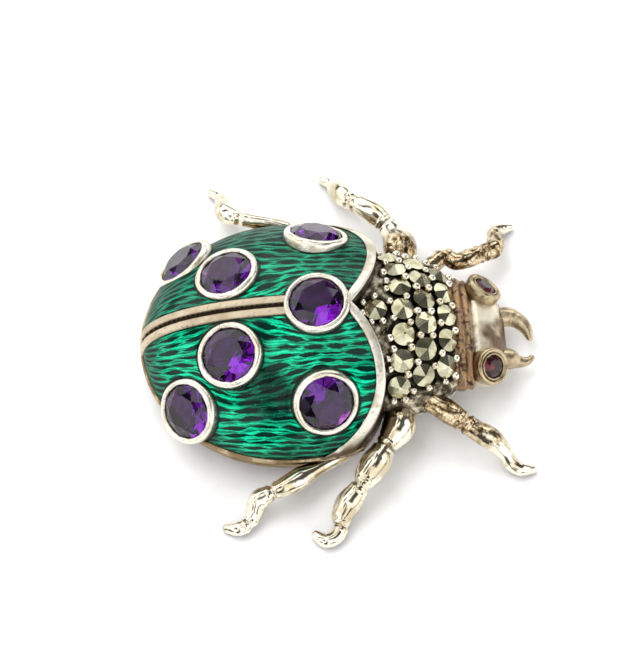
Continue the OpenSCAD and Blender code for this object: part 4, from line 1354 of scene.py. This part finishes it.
# %% Finish of neck and head: rusty behind, rubbed clean ahead
r = Recipe("tarnished_neck_silver")
clouds = r.noise(0.9, 5, 0.65, twist=0.2)
grain = r.noise(0.14, 5, 0.7)
rusty = r.colours(clouds, [
    (0.32, (0.03, 0.015, 0.02)), (0.42, (0.15, 0.08, 0.06)), (0.50, (0.44, 0.32, 0.19)),
    (0.57, (0.44, 0.24, 0.11)), (0.68, (0.25, 0.17, 0.16))])
clean = r.colours(r.noise(2.6, 2, 0.5), [
    (0.37, (0.22, 0.15, 0.10)), (0.46, (0.62, 0.53, 0.39)), (0.56, (0.98, 0.90, 0.72))])
neck_end = thorax_front + 0.36 * head_len + x_shift
ahead = r.sum("ADD", r.axes(r.place)[0], r.sum("MULTIPLY", clouds, 0.8))
tarnish = r.blend(r.step(ahead, neck_end + 0.1, neck_end + 0.9), rusty, clean)
tarnish = r.blend(r.step(grain, 0.60, 0.74), tarnish, (0.10, 0.06, 0.04))
tarnish = r.blend(r.step(r.hollows(0.7), 0.30, 0.80), tarnish, (0.035, 0.02, 0.012))
r.set(Base_Color=tarnish, Metallic=1.0, Roughness=r.sum("ADD", r.sum("MULTIPLY", grain, 0.26), 0.10))
r.set(Normal=r.relief(r.sum("ADD", grain, r.sum("MULTIPLY", clouds, 2.0)), 0.05))
finish_piece(head, r.finish, ["silver_body"])

# %% [markdown]
# ## Eye collars
# Each eye is a dark red stone in a collar that leans out and forward on the cheek. The lathe that made the
# bezels makes it from a profile of its own.

# %% Eye collars: an outer wall, a groove and a thin inner lip
EYE = {"ahead": 0.705, "across": 0.735, "up": 0.72, "lean_out": 30, "lean_forward": 32}
# Radius, height, share of the waves of the wall, share of the raggedness of the lip
eye_profile = [
    (1.30, -1.45, 0.0, 0.0), (1.60, -1.40, 0.2, 0.0), (1.66, -0.60, 0.6, 0.0), (1.66, -0.25, 1.0, 0.0),
    (1.62, -0.12, 1.0, 0.0), (1.53, -0.04, 0.8, 0.0), (1.41, -0.02, 0.6, 0.2), (1.31, -0.07, 0.3, 0.4),
    (1.235, -0.16, 0.0, 0.4), (1.205, -0.16, 0.0, 0.5), (1.175, -0.07, 0.0, 0.8), (1.12, -0.03, 0.0, 1.0),
    (1.05, -0.06, 0.0, 1.0), (1.02, -0.11, 0.0, 1.0), (1.07, -0.17, 0.0, 0.2), (1.08, -0.95, 0.0, 0.0)]
for side, word in ((1, "left"), (-1, "right")):
    middle = np.array([thorax_front + EYE["ahead"] * head_len, side * EYE["across"] * head_half_w,
                       EYE["up"] * head_top])
    turn = Matrix.Rotation(math.radians(-side * EYE["lean_out"]), 3, "X")
    turn = turn @ Matrix.Rotation(math.radians(EYE["lean_forward"]), 3, "Y")
    ring = turned_ring(eye_profile, np.array(turn), middle, np.random.default_rng(60 + side), sides=84,
                       outer=0.02, inner=0.018, rise=0.012)
    collar = rough_piece(f"eye_collar_{word}", [ring])
    finish_piece(collar, collar_silver, ["silver_body"], crease=60)

# %% [markdown]
# ## Legs and mandibles
# Each leg is a cast rod with swollen segments and pinched joints, bent by hand, so no two are alike. A soft
# ridge runs along each segment and splits its reflection into a light and a dark side, and each root has
# kept its rust and the roughness of the casting. A ring of points is carried along a smooth line through
# the stations, and each joint gets a groove between two small rolls.

# %% Stations of the limbs
leg_reach = 6
leg_d = 2.2
jaw_len = 2.5
jaw_d = 2
# Each station: how far ahead of the head and across as shares of jaw_len, its height and radius as
# shares of jaw_d
JAWS = {
    "left": [[-0.75, 0.66, 0.98, 0.44], [0.10, 0.84, 0.93, 0.45], [0.55, 0.68, 0.88, 0.38],
             [0.82, 0.36, 0.84, 0.29], [0.93, 0.00, 0.80, 0.16]],
    "right": [[-0.75, -0.70, 1.00, 0.50], [0.08, -0.86, 0.95, 0.48], [0.45, -0.96, 0.88, 0.28],
              [0.74, -0.94, 0.84, 0.20], [0.92, -0.80, 0.80, 0.14]],
}
# Each leg: its side, its root as a share of thorax_front, and its stations: how far ahead of the root and
# out from the body's side as shares of leg_reach, the height as a share of base_z, the radius of leg_d
LEGS = {
    "rear_right": [-1, 0.152, [
        [0.00, -0.08, 0.74, 0.30], [-0.37, 0.13, 0.81, 0.31], [-0.65, 0.28, 0.84, 0.44],
        [-0.88, 0.40, 0.81, 0.41], [-1.05, 0.45, 0.71, 0.31], [-1.25, 0.53, 0.58, 0.43],
        [-1.33, 0.68, 0.39, 0.33], [-1.42, 0.82, 0.25, 0.29], [-1.57, 0.88, 0.20, 0.29],
        [-1.73, 0.85, 0.13, 0.19]]],
    "rear_left": [1, 0.1, [
        [0.00, -0.08, 0.70, 0.30], [-0.50, 0.11, 0.77, 0.30], [-0.92, 0.22, 0.84, 0.34],
        [-1.23, 0.31, 0.84, 0.31], [-1.45, 0.47, 0.68, 0.46], [-1.52, 0.70, 0.48, 0.30],
        [-1.55, 0.88, 0.29, 0.25], [-1.68, 1.01, 0.14, 0.18]]],
    "middle_right": [-1, 0.58, [
        [0.00, -0.06, 1.03, 0.55], [-0.05, 0.183, 1.06, 0.67], [-0.16, 0.353, 1.03, 0.54],
        [-0.27, 0.483, 1.03, 0.40], [-0.40, 0.693, 1.03, 0.59], [-0.55, 0.893, 0.90, 0.52],
        [-0.64, 1.013, 0.84, 0.36], [-0.81, 1.193, 0.61, 0.52], [-0.93, 1.363, 0.42, 0.42],
        [-0.95, 1.503, 0.31, 0.31], [-1.03, 1.643, 0.23, 0.31], [-1.18, 1.697, 0.20, 0.30],
        [-1.31, 1.603, 0.17, 0.21]]],
    "middle_left": [1, 0.6725, [
        [0.00, -0.04, 1.10, 0.60], [0.00, 0.233, 1.13, 0.72], [-0.08, 0.463, 1.10, 0.54],
        [-0.17, 0.633, 1.06, 0.40], [-0.33, 0.843, 1.03, 0.52], [-0.52, 1.013, 0.94, 0.47],
        [-0.66, 1.113, 0.84, 0.35], [-0.78, 1.323, 0.58, 0.50], [-0.88, 1.513, 0.39, 0.40],
        [-0.95, 1.643, 0.26, 0.27], [-1.08, 1.749, 0.16, 0.19]]],
    "front_right": [-1, 0.807, [
        [0.00, -0.08, 1.16, 0.46], [0.25, 0.113, 1.16, 0.48], [0.45, 0.273, 1.10, 0.40],
        [0.63, 0.383, 0.97, 0.44], [0.82, 0.483, 0.84, 0.46], [1.00, 0.633, 0.58, 0.34],
        [1.10, 0.773, 0.35, 0.30], [1.24, 0.843, 0.23, 0.29], [1.41, 0.843, 0.15, 0.19]]],
    "front_left": [1, 0.8735, [
        [0.00, -0.06, 1.16, 0.38], [0.25, 0.143, 1.16, 0.36], [0.42, 0.053, 1.13, 0.37],
        [0.63, 0.123, 1.06, 0.42], [0.83, 0.223, 0.97, 0.36], [1.00, 0.313, 0.84, 0.42],
        [1.08, 0.453, 0.71, 0.37], [1.07, 0.633, 0.52, 0.30], [1.13, 0.773, 0.35, 0.31],
        [1.23, 0.843, 0.24, 0.27], [1.35, 0.883, 0.16, 0.18]]],
}


# %% Limbs with a soft ridge and pinched joints
joint_w = 0.13
joint_deep = 0.17
roll_gap = 0.33
roll_h = 0.10


def limb(stations, dice, ridge=1.66, steps=14, sides=40):
    """A rod bent through its stations, pinched to a joint where a station is thinner than both next."""
    rows = curve_through(stations, steps)
    spots, thick = rows[:, :3], rows[:, 3].copy()
    run = np.concatenate([[0], np.cumsum(np.linalg.norm(np.diff(spots, axis=0), axis=1))])
    widths = [s[3] for s in stations]
    for k in range(1, len(stations) - 1):
        if widths[k] <= min(widths[k - 1], widths[k + 1]) + 0.001:
            gap = run - run[k * steps]
            groove = np.exp(-(gap / joint_w) ** 2)
            rolls = np.exp(-((np.abs(gap) - roll_gap) / joint_w) ** 2)
            thick *= 1 - joint_deep * groove + roll_h * rolls
    heading = np.gradient(spots, axis=0)
    heading /= np.linalg.norm(heading, axis=1, keepdims=True)
    a = np.linspace(0, 2 * math.pi, sides, endpoint=False)
    rings = []

    def ring(spot, way, radius, phase=0.0):
        side = np.cross([0, 0, 1], way)
        side /= max(np.linalg.norm(side), 0.001)
        up = np.cross(way, side)
        c, s = bulge(a, ridge)
        dent = 1 + 0.02 * np.sin(3 * a + phase)
        return spot + radius * dent[:, None] * (c[:, None] * side + s[:, None] * up)

    for share in (0.0, 0.5, 0.8):
        back = spots[0] - heading[0] * thick[0] * 0.7 * (1 - share)
        rings.append(ring(back, heading[0], thick[0] * math.sqrt(max(0.05, 1 - (1 - share) ** 2))))
    lumps = wobble(run / max(run[-1], 1) * 2 * math.pi, (2, 3, 5, 9), 0.02, dice)
    for i, spot in enumerate(spots):
        rings.append(ring(spot, heading[i], thick[i] * (1 + lumps[i]), run[i] * 1.7))
    for share in (0.35, 0.65, 0.85, 0.96):
        front = spots[-1] + heading[-1] * thick[-1] * share
        rings.append(ring(front, heading[-1], thick[-1] * math.sqrt(1 - share ** 2)))
    points, faces = skin(rings, cap_start=True, cap_end=True)
    points[:, 2] = np.maximum(points[:, 2], 0.004)
    return points, faces


def side_y(x):
    """How far out the body's side is at x."""
    return float(case_half_width(np.array(x))) if x < front_notch else float(thorax_w(np.array(x)))


for number, (word, (side, root, stations)) in enumerate(LEGS.items()):
    root_x = root * thorax_front
    path = [[root_x + s[0] * leg_reach, side * (side_y(root_x) + s[1] * leg_reach),
             max(s[2] * base_z, s[3] * leg_d), s[3] * leg_d] for s in stations]
    leg = rough_piece(f"leg_{word}", [limb(path, np.random.default_rng(70 + number))])
    metal = front_leg_silver if "front" in word else leg_silver
    finish_piece(leg, metal, ["silver_body"], crease=75)
for number, (word, stations) in enumerate(JAWS.items()):
    path = [[thorax_front + head_len + s[0] * jaw_len, s[1] * jaw_len, s[2] * jaw_d, s[3] * jaw_d]
            for s in stations]
    jaw = rough_piece(f"mandible_{word}", [limb(path, np.random.default_rng(80 + number), ridge=1.8)])
    finish_piece(jaw, jaw_silver, ["silver_body"], crease=75)

# %% [markdown]
# ## Base ring under the wing case
# The wing case rests on a ring of silver that shows as a dark brown wall with a lighter line along its
# foot. It follows the base's outline from one front rim round the tail to the other, and the thorax's own
# walls close it in front.

# %% Base ring
def ring_plan(psi, inset):
    """Distance from the widest place's middle to the ring's outline, moved in by inset."""
    reach = np.where(np.cos(psi) < 0, case_rear - widest_back, front_taper) - inset
    oval = 1 / np.sqrt((np.cos(psi) / reach) ** 2 + (np.sin(psi) / (case_half_w - inset)) ** 2)
    low, high = np.zeros_like(psi), np.full_like(psi, 17.0)
    for _ in range(40):
        mid = 0.5 * (low + high)
        inside = mid * np.cos(psi) - widest_back < front_edge(mid * np.sin(psi), inset)
        low = np.where(inside, mid, low)
        high = np.where(inside, high, mid)
    soft = 0.25
    return -soft * np.log(np.exp(-oval / soft) + np.exp(-low / soft))


psi = np.radians(np.linspace(46, 314, 460))
ring_dice = np.random.default_rng(33)
lines = []
# Distance in from the dome's outline and height, from the inner foot round the outside to the inner top
ring_profile = [(ring_reach, 1.45), (ring_reach - 0.1, ring_lift), (ring_inset + 0.14, ring_lift),
                (ring_inset, 1.42), (ring_inset - 0.02, 1.62), (ring_inset + 0.05, 1.74),
                (ring_inset + 0.09, 1.84), (ring_inset + 0.04, 1.94), (ring_inset, 2.1), (ring_inset, 2.85),
                (ring_inset + 0.06, 2.98), (ring_inset + 0.2, 3.08), (ring_reach, 3.08)]
for inset, z in ring_profile:
    sway = wobble(psi * 2, (3, 5, 9, 15), 0.02, ring_dice) if inset < 0.5 else 0.0
    reach = ring_plan(psi, inset) + sway
    lines.append(np.stack([reach * np.cos(psi) - widest_back, reach * np.sin(psi), z + 0 * psi], 1))
ring_rows = np.array(lines).transpose(1, 0, 2)
base_ring = rough_piece("base_ring", [skin(ring_rows, cap_start=True, cap_end=True)])
finish_piece(base_ring, brown_silver, ["silver_body"], crease=50)

# %% [markdown]
# ## Pad for the pin
# The pin's hinge has to be soldered to something, so a small square pad hangs under the neck. The
# photograph doesn't show it, so it is kept plain.

# %% Pad for the pin
pad_x = thorax_front + head_len / 10
pad_half = 0.8
square = [(-1, -1), (1, -1), (1, 1), (-1, 1)]
rings = []
for inset, z in ((0.08, ring_lift), (0.0, ring_lift + 0.08), (0.0, 2.3)):
    rings.append([[pad_x + (pad_half - inset) * p, (pad_half - inset) * q, z] for p, q in square])
pad = rough_piece("hinge_pad", [skin(rings, cap_start=True, cap_end=True)])
finish_piece(pad, back_silver, ["silver_body"])

# %% [markdown]
# ## The dressed model's box is printed beside the frame's box.
# A dressed model must not grow past its frame, so the two boxes are written side by side.

# %% Print the two boxes
dressed_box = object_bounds()


def plain(box):
    return [[float(v) for v in corner] for corner in box]


for word, box in (("frame", frame_box), ("dressed", dressed_box)):
    print(word, [[round(v / MM, 2) for v in corner] for corner in plain(box)])
